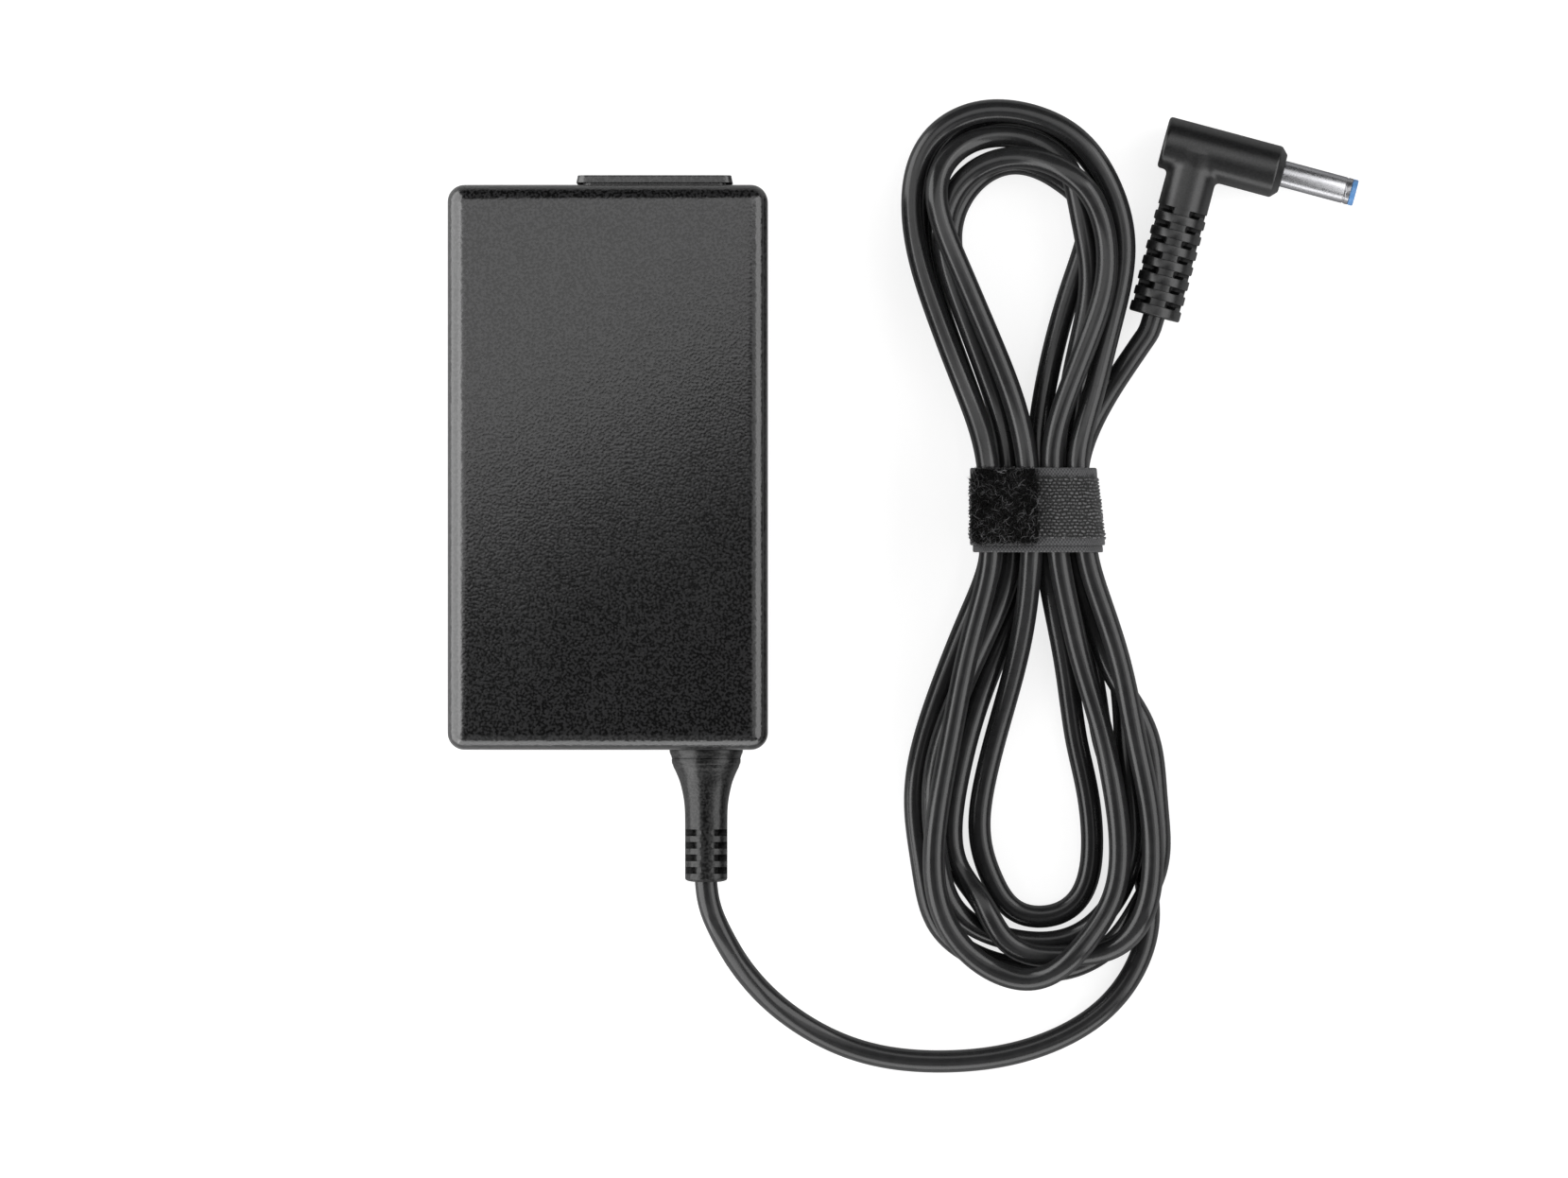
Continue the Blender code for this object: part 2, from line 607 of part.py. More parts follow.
def strung(count, runs):
    """Weights that place test points along straight runs between count nodes."""
    rows = []
    for i in range(count - 1):
        for j in range(runs):
            row = np.zeros(count)
            row[i], row[i + 1] = 1 - j / runs, j / runs
            rows.append(row)
    row = np.zeros(count)
    row[-1] = 1
    return np.array(rows + [row])


def least_gap(points):
    """The least air between parts of a tube that aren't neighbours along it, and where it is."""
    dense = evenly(points, 0.8)
    run = lengths(dense)
    least, place = 1e9, dense[0]
    for i, point in enumerate(dense):
        rest = dense[run > run[i] + 3.5 * CORD_D]
        if len(rest):
            near = np.linalg.norm(rest - point, axis=1).min()
            if near < least:
                least, place = near, point
    return least - CORD_D, place


def way_at(points, index):
    way = points[index + 1] - points[index - 1]
    return way / np.linalg.norm(way)


def stretch(points, count, way_in, way_out):
    """Thin a stretch of cord to count points, its ends straight for one diameter along the ways."""
    run = lengths(points)
    inner = points[(run > 1.8 * CORD_D) & (run < run[-1] - 1.8 * CORD_D)]
    return np.vstack((points[0], points[0] + CORD_D * way_in, thin(inner, count - 4),
                      points[-1] - CORD_D * way_out, points[-1]))


def hank_points(cord, way_in):
    """24 points a turn: 12 on each loop, the first and last of them where it meets the tie."""
    tied_here = in_tie(cord)
    enters = [i for i in range(1, len(cord)) if tied_here[i] and not tied_here[i - 1]]
    leaves = [i for i in range(len(cord) - 1) if tied_here[i] and not tied_here[i + 1]]
    pieces = [stretch(cord[:enters[0] + 1], 14, way_in, way_at(cord, enters[0]))]
    for left, entered in zip(leaves, enters[1:]):
        pieces.append(thin(cord[left:entered + 1], LOOP_POINTS // 2))
    return np.vstack(pieces + [cord[leaves[-1]]])


def make_cord():
    cord = laid_cord()
    split = int(np.argmin(np.linalg.norm(cord - np.array(LEAD_END), axis=1)))
    tail = max(i for i, inside in enumerate(in_tie(cord)) if inside)
    exit_way = np.array((0.0, -1.0, 0.0))
    hank_way, tail_way = way_at(cord, split), way_at(cord, tail - 1)
    plug_way = way_at(cord, len(cord) - 2)
    lead = stretch(cord[:split + 1], 38, exit_way, hank_way)
    start = cord[split] + GAP * hank_way
    hank = hank_points(np.vstack((start, cord[split + 1:tail + 2])), hank_way)
    rest = stretch(np.vstack((cord[tail] + GAP * tail_way, cord[tail + 1:])), 14, tail_way, plug_way)

    nodes = np.vstack((lead, hank, rest))
    held = in_tie(nodes)
    held[:len(lead) + 2] = True
    held[-len(rest):] = True
    nodes = lay(nodes, strung(len(nodes), 6), nodes, held, 600, CORD_D + 0.7, 0.0)
    hank = nodes[len(lead):-len(rest)]
    tube("cord_lead", lead, CORD_BLACK, CORD_D, 2)
    tube("cord_hank", hank, CORD_BLACK, CORD_D, 1)
    tube("cord_tail", rest, CORD_BLACK, CORD_D, 2)
    gap, place = least_gap(hank)
    print("hank: %d points, %.0f mm of cord, least gap to itself %.2f mm at (%.0f, %.0f, %.0f)"
          % (len(hank), lengths(hank)[-1], gap, *place))
    print("cord: %.0f mm from strain relief to plug" % lengths(cord)[-1])


# ---- hook-and-loop tie ----------------------------------------------------------------------------
def tape_ring(offset, y):
    """The outline of the tape round the tied cords, offset outwards, leaned like the cords."""
    half_u = COLUMNS[-1] + CORD_R + GAP + offset
    half_v = ROW_RISE + CORD_R + GAP + offset
    middle_z = ROW_Z + ROW_RISE
    outline = rounded(half_u, half_v, CORD_R + GAP + offset, 5)
    return [(lean(TIE[0] + u, y), y, middle_z + v) for u, v in outline]


def make_tie():
    outer = (TIE[1] - TAPE_WIDTH / 2 + WRAP_SHIFT / 2, TIE[1] + TAPE_WIDTH / 2 + WRAP_SHIFT / 2)
    inner = (outer[0] - WRAP_SHIFT, outer[1] - WRAP_SHIFT)
    rings = [tape_ring(0, inner[0]), tape_ring(TAPE, inner[0]), tape_ring(TAPE, outer[0]),
             tape_ring(2 * TAPE, outer[0]), tape_ring(2 * TAPE, outer[1]), tape_ring(TAPE, outer[1]),
             tape_ring(TAPE, inner[1]), tape_ring(0, inner[1])]
    add_mesh("tie_band", loft(rings, closed=True), TAPE_BLACK)
    make_tie_tab(outer)


def make_tie_tab(span):
    """The soft end of the tape: it lies on the band and peels up about its right-hand edge."""
    radius = TAB_THICK / 2
    end = -TAB_LENGTH
    section = arc(radius, 90, -90, 6) + [(end + 4.2, -radius), (end + 1.7, -radius - 0.1),
                                         (end + 0.1, -radius - 0.35), (end, radius - 0.4),
                                         (end + 1.7, radius - 0.1), (end + 4.2, radius)]
    low, high = span[0] + 0.15, span[1] - 0.35
    rings = []
    for y, cut in ((low, 0.8), (low + 0.8, 0.0), (high - 0.8, 0.0), (high, 0.8)):
        ring = [(u + (cut if u < end + 1 else 0.0) + TAB_AXIS[0], y, v + TAB_AXIS[1])
                for u, v in section]
        rings.append(ring)
    tab = add_mesh("tie_tab", loft(rings), TAPE_BLACK)
    pivot = Vector((TAB_AXIS[0], TIE[1], TAB_AXIS[1])) * MM
    tab.data.transform(Matrix.Translation(-pivot))
    tab.location = pivot


# ---- inside the case ------------------------------------------------------------------------------
def standing(name, x, y, size, finish, bevel=0.4):
    """A boxy component standing on the circuit board, centred on x and y."""
    low = (x - size[0] / 2, y - size[1] / 2, ON_BOARD)
    high = (x + size[0] / 2, y + size[1] / 2, ON_BOARD + size[2])
    return add_mesh(name, block(low, high, bevel), finish)


def can(name, x, y, radius, height):
    """An upright electrolytic capacitor with its crimped groove."""
    rings = []
    for z, r in ((0, radius - 0.3), (0.3, radius), (1.6, radius), (2.1, radius - 0.4),
                 (2.6, radius), (height - 0.4, radius), (height, radius - 0.4)):
        rings.append(flat_ring(circle(r, 20), ON_BOARD + z, (x, y)))
    return add_mesh(name, loft(rings), SLEEVE_BLUE)


def make_board_and_sheets():
    board = block((-BOARD_X, BOARD_Y[0], BOARD_Z), (BOARD_X, BOARD_Y[1], BOARD_Z + BOARD_THICK))
    add_mesh("circuit_board", board, GREEN)
    top = CASE_HEIGHT - WALL - GAP
    spreader = block((-22.5, -40.0, top - 0.8), (22.5, 28.0, top))
    add_mesh("heat_spreader", spreader, ALUMINIUM)
    sheet = block((-18.0, -41.0, WALL + GAP), (18.0, 29.0, WALL + GAP + 0.4))
    add_mesh("insulating_sheet", sheet, WHITE)
    chip = block((-9.0, -9.0, BOARD_Z - GAP - 1.5), (-4.0, -3.0, BOARD_Z - GAP), 0.2)
    add_mesh("controller_chip", chip, BLACK)


def make_input_filter():
    standing("fuse", -17.5, 21.5, (9.0, 4.2, 7.5), BLACK)
    standing("x_capacitor", -10.5, 13.0, (18.0, 7.0, 13.0), YELLOW)
    standing("bridge_rectifier", -14.0, 5.0, (15.0, 3.6, 11.0), BLACK)
    centre = (9.5, 15.0)
    middle = ON_BOARD + 6.0
    core = []
    for radius, z in ((4.6, -3.6), (9.0, -3.6), (9.0, 3.6), (4.6, 3.6)):
        core.append(flat_ring(circle(radius, 24), middle + z, centre))
    add_mesh("choke_core", loft(core, closed=True), FERRITE)
    for name, start in (("choke_winding_left", 105), ("choke_winding_right", -75)):
        outline = arc(10.2, start, start + 150, 10) + arc(3.4, start + 150, start, 10)
        winding = loft([flat_ring(outline, middle + z, centre) for z in (-4.8, 4.8)])
        made = add_mesh(name, winding, COPPER)
        room = []
        for radius, z in ((4.3, -3.9), (9.3, -3.9), (9.3, 3.9), (4.3, 3.9)):
            room.append(flat_ring(circle(radius, 24), middle + z, centre))
        carve(made, loft(room, closed=True))


def make_power_stage():
    can("bulk_capacitor", 12.2, -5.0, 8.0, 17.5)
    winding = block((-15.0, -21.5, ON_BOARD + 2.0), (-3.0, -7.5, ON_BOARD + 15.0), 1.2)
    add_mesh("transformer_winding", winding, YELLOW)
    core = block((-18.8, -18.0, ON_BOARD), (0.8, -11.0, ON_BOARD + 17.0), 0.3)
    made = add_mesh("transformer_core", core, FERRITE)
    room = block((-15.3, -30.0, ON_BOARD + 1.7), (-2.7, 0.0, ON_BOARD + 15.3))
    carve(made, room)
    sink = block((-23.2, -32.0, ON_BOARD), (-22.0, 18.0, ON_BOARD + 14.5))
    add_mesh("primary_heat_sink", sink, ALUMINIUM)
    switch = block((-21.7, -2.0, ON_BOARD + 3.0), (-19.4, 2.6, ON_BOARD + 13.0), 0.2)
    add_mesh("switching_transistor", switch, BLACK)


def make_output_stage():
    can("output_capacitor_left", -6.5, -33.5, 5.0, 16.0)
    can("output_capacitor_right", 5.0, -33.5, 5.0, 16.0)
    sink = block((0.0, -26.4, ON_BOARD), (21.0, -25.2, ON_BOARD + 14.0))
    add_mesh("secondary_heat_sink", sink, ALUMINIUM)
    rectifier = block((8.0, -24.9, ON_BOARD + 2.0), (18.0, -20.6, ON_BOARD + 12.0), 0.2)
    add_mesh("output_rectifier", rectifier, BLACK)
    standing("optocoupler", -13.5, -27.0, (6.4, 4.6, 3.6), BLACK, 0.2)
    standing("safety_capacitor", -17.5, -34.5, (8.0, 4.0, 8.0), SLEEVE_BLUE, 0.8)


def make_inner_leads():
    """Short wires from the inlet's pins and from the cord's end down to the board."""
    for (name, (u, v)), lands_x in zip(PINS.items(), (-2.5, 21.2, 4.0)):
        pin_x, pin_z = INLET_X + u, SEAM_Z + v
        back = INLET_BACK_Y - PIN_TAIL - GAP
        start = (pin_x, back, pin_z)
        points = [start, (pin_x, back - 1.2, pin_z), (lands_x, back - 3.2, ON_BOARD + 5.0),
                  (lands_x, back - 3.6, ON_BOARD + 2.0), (lands_x, back - 3.6, ON_BOARD)]
        tube(name.replace("pin", "lead"), points, WHITE, WIRE_D, 1)
    inner = BACK_Y + WALL + 2 * DRAFT + GAP + HEEL + GAP
    for name, side in (("positive_lead", 1), ("return_lead", -1)):
        x = RELIEF_X + 1.3 * side
        points = [(x, inner, SEAM_Z), (x, inner + 1.5, SEAM_Z), (x + side, inner + 3.0, SEAM_Z - 2.0),
                  (x + side, inner + 3.4, ON_BOARD + 1.0), (x + side, inner + 3.4, ON_BOARD)]
        tube(name, points, WHITE, WIRE_D, 1)


def main():
    clear_scene()
    make_upper_shell()
    make_lower_shell()
    make_inlet()
    make_output_relief()
    make_board_and_sheets()
    make_input_filter()
    make_power_stage()
    make_output_stage()
    make_inner_leads()
    make_plug()
    make_tie()
    make_cord()


main()
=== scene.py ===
# %% [markdown]
# # Dressing a laptop power adapter
# The solids of the adapter come in as a fixed frame: a two-shell case, a mains inlet, a slotted
# strain relief, a cord that is wound into a tied hank, and a right-angled plug. This lesson gives
# them their fine surfaces. The scene is in metres, and the adapter stands at z = 0. Sizes written
# here are in millimetres where a name or a comment doesn't say otherwise.

# %% Load the frame
import math

import bmesh
import bpy
import numpy as np
from mathutils import Matrix, Vector


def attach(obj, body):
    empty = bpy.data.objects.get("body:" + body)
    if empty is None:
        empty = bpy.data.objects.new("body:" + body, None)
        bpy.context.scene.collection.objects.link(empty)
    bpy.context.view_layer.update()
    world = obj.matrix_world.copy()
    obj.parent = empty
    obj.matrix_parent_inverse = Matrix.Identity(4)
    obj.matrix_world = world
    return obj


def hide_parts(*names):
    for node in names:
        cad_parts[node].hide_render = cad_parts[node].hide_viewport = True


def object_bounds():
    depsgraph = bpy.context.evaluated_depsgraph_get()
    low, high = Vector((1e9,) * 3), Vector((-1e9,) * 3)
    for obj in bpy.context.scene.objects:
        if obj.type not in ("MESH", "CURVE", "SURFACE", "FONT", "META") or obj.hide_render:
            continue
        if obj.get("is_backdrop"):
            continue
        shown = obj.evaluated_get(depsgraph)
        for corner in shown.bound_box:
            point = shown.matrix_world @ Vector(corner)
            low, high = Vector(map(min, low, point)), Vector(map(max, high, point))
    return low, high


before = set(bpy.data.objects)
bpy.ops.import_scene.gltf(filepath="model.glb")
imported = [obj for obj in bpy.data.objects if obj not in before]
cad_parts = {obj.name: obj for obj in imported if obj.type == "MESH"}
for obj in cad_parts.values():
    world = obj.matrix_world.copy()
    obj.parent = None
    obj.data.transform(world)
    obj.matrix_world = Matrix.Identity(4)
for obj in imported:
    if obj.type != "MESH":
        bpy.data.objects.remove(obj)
cad_low, cad_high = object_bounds()
MM = 0.001
print("frame: %d solids, box %s to %s" % (len(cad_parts), tuple(cad_low), tuple(cad_high)))

# %% [markdown]
# ## The camera
# The photograph looks straight down through a long lens, so no side of the case shows. A camera
# four metres up has the same flat view. Its lens follows from the width of table in the picture.

# %% Camera
IMAGE = (1659, 1246)            # pixels
SCALE = 6250.0                  # pixels per metre
ORIGIN_PIXEL = (643.5, 489.75)  # where the frame's origin lies in the picture
CAMERA_HEIGHT = 4.0             # metres
SCALE_HEIGHT = 0.012            # metres: the picture's scale holds at this height


def linked(name, data):
    """A new object that shows this data in the scene."""
    made = bpy.data.objects.new(name, data)
    bpy.context.collection.objects.link(made)
    return made


camera_data = bpy.data.cameras.new("camera")
camera_data.sensor_width = 36.0
camera_data.lens = camera_data.sensor_width * (CAMERA_HEIGHT - SCALE_HEIGHT) * SCALE / IMAGE[0]
camera = linked("camera", camera_data)
middle_x = (IMAGE[0] / 2 - ORIGIN_PIXEL[0]) / SCALE
middle_y = (ORIGIN_PIXEL[1] - IMAGE[1] / 2) / SCALE
camera.location = (middle_x, middle_y, CAMERA_HEIGHT)
bpy.context.scene.camera = camera
bpy.context.scene.view_settings.view_transform = "Standard"
print("camera: %.0f mm lens over (%.4f, %.4f)" % (camera_data.lens, middle_x, middle_y))

# %% [markdown]
# ## Building node trees
# Shaders and Geometry Nodes are both trees of nodes, so one helper adds a node to either: it sets
# the node's options, then fills each input with a value or links it to another node's output.

# %% A helper for nodes
def add_node(tree, kind, inputs=None, **options):
    made = tree.nodes.new(kind)
    for name, value in options.items():
        setattr(made, name, value)
    for name, value in (inputs or {}).items():
        socket = made.inputs[name]
        if isinstance(value, bpy.types.NodeSocket):
            tree.links.new(value, socket)
        else:
            socket.default_value = value
    return made


def calculate(tree, operation, first, second=0.0):
    step = add_node(tree, "ShaderNodeMath", {0: first, 1: second}, operation=operation)
    return step.outputs[0]


# %% [markdown]
# ## Light
# Black plastic shows little but the lights that it mirrors, so each softbox has one job. The panel
# above ends over the middle of the case, so its flat top fades from grey to black. The tall one on
# the left fills the case's left edge, and draws only a thin line on the cords, which are further
# off. Two on the right and two in front give the soft bands along the other edges.

# %% Softboxes
SOFTBOXES = (                   # name, place, aim and size in metres, radiance
    ("panel_above", (0.026, 0.088, 0.205), (0.026, 0.088, 0.0), (0.6, 0.13), 1.25),
    ("left", (-0.11, -0.01, 0.097), (0.1, -0.01, 0.097), (0.42, 0.187), 3.3),
    ("right_low", (0.25, -0.01, 0.17), (0.0, -0.01, 0.17), (0.42, 0.20), 2.6),
    ("right_high", (0.25, -0.02, 0.39), (0.026, -0.02, 0.0), (0.5, 0.22), 0.8),
    ("near_low", (0.03, -0.30, 0.085), (0.03, 0.0, 0.085), (0.5, 0.16), 2.8),
    ("near_high", (0.03, -0.325, 0.38), (0.03, -0.05, 0.0), (0.5, 0.26), 0.24),
)
PANEL_TURN = 26.0               # degrees: the fade on the case runs at a slant
ROOM = (0.04, 0.04, 0.041)

for name, at, aim, size, radiance in SOFTBOXES:
    lamp = bpy.data.lights.new(name, "AREA")
    lamp.shape = "RECTANGLE"
    lamp.size, lamp.size_y = size
    lamp.energy = radiance * math.pi * size[0] * size[1]
    box = linked(name, lamp)
    box.location = at
    box.rotation_euler = (Vector(aim) - Vector(at)).to_track_quat("-Z", "Y").to_euler()
    box.visible_camera = False
bpy.data.objects["panel_above"].rotation_euler = (0.0, 0.0, math.radians(PANEL_TURN))

world = bpy.data.worlds.new("room")
bpy.context.scene.world = world
world.use_nodes = True
world.node_tree.nodes["Background"].inputs["Color"].default_value = (*ROOM, 1.0)
print("light: %d softboxes" % len(SOFTBOXES))

# %% [markdown]
# ## The table
# The floor glows nearly white to the camera and through glass, and its paint adds what the lamps
# give, less in a shadow. Reflections show it too, but dimmer, as a black sheet round the table
# would. Seen from below it is clear, so it doesn't hide the underside, and it lies a hair under the
# case's feet.

# %% Floor
FLOOR_HALF, FLOOR_Z = 12.0, -0.0002     # metres
GLOW_SEEN, GLOW_MIRRORED = 0.78, 0.15
PAINT, PAINT_SEEN = 0.86, 0.36          # for bounced light, and for what looks at it

floor_material = bpy.data.materials.new("white_table")
floor_material.use_nodes = True
tree = floor_material.node_tree
tree.nodes.clear()
rays = add_node(tree, "ShaderNodeLightPath").outputs
seen = calculate(tree, "MAXIMUM", rays["Is Camera Ray"], rays["Is Transmission Ray"])
direct = calculate(tree, "MULTIPLY", seen, GLOW_SEEN)
mirrored = calculate(tree, "MULTIPLY", rays["Is Glossy Ray"], GLOW_MIRRORED)
glow = add_node(tree, "ShaderNodeEmission",
                {"Color": (1, 1, 1, 1), "Strength": calculate(tree, "MAXIMUM", direct, mirrored)})
looked_at = calculate(tree, "MAXIMUM", seen, rays["Is Glossy Ray"])
less = calculate(tree, "MULTIPLY", looked_at, PAINT - PAINT_SEEN)
paint = add_node(tree, "ShaderNodeBsdfDiffuse", {"Color": calculate(tree, "SUBTRACT", PAINT, less)})
mixed = add_node(tree, "ShaderNodeAddShader", {0: glow.outputs[0], 1: paint.outputs[0]})
facing = add_node(tree, "ShaderNodeNewGeometry")
clear = add_node(tree, "ShaderNodeBsdfTransparent")
one_sided = add_node(tree, "ShaderNodeMixShader",
                     {0: facing.outputs["Backfacing"], 1: mixed.outputs[0], 2: clear.outputs[0]})
add_node(tree, "ShaderNodeOutputMaterial", {"Surface": one_sided.outputs[0]})

floor_mesh = bpy.data.meshes.new("floor")
corners = [(x * FLOOR_HALF, y * FLOOR_HALF, FLOOR_Z)
           for x, y in ((-1, -1), (1, -1), (1, 1), (-1, 1))]
floor_mesh.from_pydata(corners, [], [(0, 1, 2, 3)])
floor_mesh.materials.append(floor_material)
linked("floor", floor_mesh)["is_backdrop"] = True
print("stage: a floor %g m wide" % (2 * FLOOR_HALF))

# %% [markdown]
# ## Materials
# Moulded plastic is never one flat colour. The tool leaves a fine spark-eroded grain, which
# sparkles from black to grey; here that sparkle is painted into the colour as a speckle of painted
# glints, from the same noise as the grain's bumps. The gloss changes where hands have rubbed it.
# At a glancing angle the grain hides its own hollows, so the gloss is duller there. One function
# lays down these things, each at its own size, from noise on Object coordinates and from a Layer
# Weight.

# %% Helpers for materials
def new_material(name, colour, roughness, metallic=0.0, specular=0.5):
    made = bpy.data.materials.new(name)
    made.use_nodes = True
    shader = made.node_tree.nodes["Principled BSDF"]
    shader.inputs["Base Color"].default_value = (*colour, 1.0)
    shader.inputs["Roughness"].default_value = roughness
    shader.inputs["Metallic"].default_value = metallic
    shader.inputs["Specular IOR Level"].default_value = specular
    return made, made.node_tree, shader


def noise(tree, size, detail=2.0, stretch=(1, 1, 1)):
    """Noise whose lumps are about size metres across."""
    place = add_node(tree, "ShaderNodeTexCoord")
    scaled = add_node(tree, "ShaderNodeMapping",
                      {"Vector": place.outputs["Object"], "Scale": stretch})
    made = add_node(tree, "ShaderNodeTexNoise",
                    {"Vector": scaled.outputs[0], "Scale": 1.0 / size, "Detail": detail})
    return made.outputs[0]


def between(tree, value, low, high, start=0.3, stop=0.7):
    """Send start to stop onto low to high."""
    ends = {"From Min": start, "From Max": stop, "To Min": low, "To Max": high}
    return add_node(tree, "ShaderNodeMapRange", {"Value": value, **ends}).outputs[0]


def mix(tree, share, dark, light):
    """A colour that runs from dark to light with a share between 0 and 1."""
    colours = {6: (*dark, 1), 7: (*light, 1)}
    return add_node(tree, "ShaderNodeMix", {0: share, **colours}, data_type="RGBA").outputs[2]


def two_tone(tree, shader, share, dark, light):
    tree.links.new(mix(tree, share, dark, light), shader.inputs["Base Color"])


def emboss(tree, shader, height, strength, distance):
    """Tilt the shading as lumps would that are this distance, in metres, high."""
    bump = add_node(tree, "ShaderNodeBump",
                    {"Height": height, "Strength": strength, "Distance": distance})
    tree.links.new(bump.outputs[0], shader.inputs["Normal"])


# %% Moulded plastic and rubber
RUBBED_SIZE = 0.012             # metres across a patch that hands have rubbed


def moulded(name, colour, roughness, grain, depth, mottle_and_glints=0.25, specular=0.5, glancing=0.25):
    """A plastic with a grain of this size and depth, in metres, and a mottled colour, which paints
    glints where it is strong.
    """
    made, tree, shader = new_material(name, colour, roughness, specular=specular)
    fine = noise(tree, grain, 0.5)
    # The grain's noise also mottles the colour: a strong mottle is a speckle of painted glints, a
    # weak one a random tone.
    two_tone(tree, shader, between(tree, fine, 0, 1, 0.4, 0.6),
             [c * (1 - mottle_and_glints) for c in colour], [c * (1 + mottle_and_glints) for c in colour])
    rubbed = between(tree, noise(tree, RUBBED_SIZE), 0.92 * roughness, 1.08 * roughness)
    facing = add_node(tree, "ShaderNodeLayerWeight", {"Blend": 0.5}).outputs["Facing"]
    duller = between(tree, facing, 0.0, glancing, 0.3, 0.9)
    tree.links.new(calculate(tree, "ADD", rubbed, duller), shader.inputs["Roughness"])
    emboss(tree, shader, fine, 1.0, depth)
    return made


# The case's mottle of 1.0 runs its colour from black to twice its value: a speckle of painted
# glints for the grain's sparkle.
case_plastic = moulded("case_plastic", (0.0075, 0.0075, 0.0077), 0.21,
                       0.00044, 0.000032, 1.0, 0.8, 0.1)
socket_plastic = moulded("socket_plastic", (0.012, 0.012, 0.0124), 0.26, 0.0004, 0.00003, 0.9, 0.8)
relief_rubber = moulded("relief_rubber", (0.009, 0.009, 0.009), 0.28, 0.0004, 0.00002, 0.9, 0.42)
plug_rubber = moulded("plug_rubber", (0.006, 0.006, 0.0062), 0.32, 0.0003, 0.000003, 0.5, 0.6)
cord_sheath = moulded("cord_sheath", (0.015, 0.015, 0.0154), 0.22, 0.0015, 0.000001, 0.08)
print("materials: case, socket, relief, plug and cord")

# %% [markdown]
# ## The cord's route
# The cord is one piece, 1.8 m long: it drops from the strain relief, sweeps under the hank, passes
# eleven times through the tie in five turns, and ends in the plug. The loops come from a formula:
# each has two S-shaped legs and two quarter turns. Then the cord is laid as a hand lays it: where
# two stretches would touch, they are pushed apart, and what can sink sinks to the table. The route
# is worked out in millimetres and turned into metres at the end. Both ends run on for a short way
# into the bores of the strain relief and the plug.

# %% The route's sizes
CORD_D = 3.8
CORD_R = CORD_D / 2
GAP = 0.3                       # left free between two parts that fit together
TIE = (72.0, -7.95)             # the tie's middle
TAPE_WIDTH, TAPE = 13.1, 0.45   # the tape's width and thickness
WRAP_SHIFT = 1.2                # how far the outer wrap lies behind the inner one
TIED_LENGTH = 15.4              # the cord runs straight over this length
COLUMNS = (-7.5, -0.95, 3.2, 7.6)
ROW_RISE = 3.85
ROW_Z = 2 * TAPE + GAP + CORD_R
SPREAD, SHIFT = 0.0053, 0.0565  # the tie's widening and slant, for each mm towards the near loops
PLUG_AT = Vector((100.0, 52.95, 4.45))
PLUG_TURN = math.radians(-15.0)
NECK_LENGTH = 29.0              # from the plug's axis to the end of its ribbed neck
LAYER = 4.2                     # from one layer of the loops to the next
ROUND = 0.59                    # a quarter turn's handles, as a share of its width
FINE = 2.5                      # between two points of the route
CLEARANCE = 0.75                # what stretches keep between them while they are laid
# The column and the row of each pass through the tie:
SLOTS = ((2, 0), (0, 0), (2, 1), (1, 2), (1, 1), (1, 0), (3, 2), (0, 2), (2, 2), (0, 1), (3, 0))
# Each loop: the end of its first leg, its far point and the start of its second leg, seen from the
# tie's middle; the shares of its legs' handles; and the layers of those three points.
TOP_LOOPS = (
    ((14.8, 40.7), (-6.0, 67.3), (-19.3, 47.5), (0.25, 0.15, 0.20), (0, 0, 0)),
    ((9.6, 39.4), (-5.0, 63.8), (-16.1, 52.9), (0.30, 0.25, 0.20), (1, 0.2, 2)),
    ((9.9, 50.4), (0.0, 59.6), (-14.8, 46.0), (0.50, 0.20, 0.15), (0, 0, 0)),
    ((14.7, 44.9), (-7.2, 67.3), (-20.2, 51.9), (0.30, 0.15, 0.35), (1, 1, 1)),
    ((13.2, 40.7), (-2.9, 59.9), (-15.1, 49.0), (0.25, 0.25, 0.20), (2, 1, 1)),
)
LOW_LOOPS = (
    ((-20.0, -48.5), (2.2, -76.3), (20.8, -58.5), (0.05, 0.05, 0.24), (0, 0, 1)),
    ((-9.2, -57.0), (0.9, -71.2), (9.9, -58.0), (0.35, 0.00, 0.42), (0, 0, 0)),
    ((-14.1, -58.5), (5.0, -76.2), (20.3, -59.7), (0.05, 0.00, 0.35), (0, 1, 2)),
    ((-16.8, -57.4), (-2.3, -79.0), (15.1, -55.8), (0.05, 0.15, 0.25), (2, 1.2, 2)),
    ((-17.2, -48.4), (0.0, -74.0), (17.7, -55.8), (0.25, 0.00, 0.35), (1, 0, 1)),
)
LEAD_ROUTE = (
    (16.6, -71.16, 14.25), (17.3, -75.3, 14.0), (19.6, -80.5, 12.0), (23.1, -86.1, 8.6),
    (28.1, -91.5, 5.2), (35.0, -96.4, 2.9), (42.5, -99.7, 2.0), (49.4, -101.1, 1.9),
    (56.0, -101.4, 1.9), (63.0, -101.1, 1.9), (71.1, -99.5, 1.9), (79.6, -95.8, 1.9),
    (86.2, -90.6, 1.9), (89.7, -84.4, 1.9), (90.6, -78.0, 1.9), (90.4, -71.3, 1.9),
    (89.4, -63.2, 1.9), (87.4, -54.4, 1.9), (84.5, -44.0, 1.9), (81.4, -33.6, 1.9),
    (79.7, -24.8, 1.9),
)
TAIL_ROUTE = ((81.2, 3.6, 3.4), (82.8, 8.6, 3.4), (85.3, 12.9, 3.5), (88.2, 17.2, 3.9))
print("hank: %d passes through the tie, %d loops" % (len(SLOTS), len(TOP_LOOPS + LOW_LOOPS)))

# %% Loops through the tie
def lean(x, y):
    """Where a point of the straight tie goes when the tie widens towards the near loops."""
    down = TIE[1] + TAPE_WIDTH / 2 + WRAP_SHIFT / 2 - y
    return TIE[0] + (x - TIE[0]) * (1 + SPREAD * down) + SHIFT * down


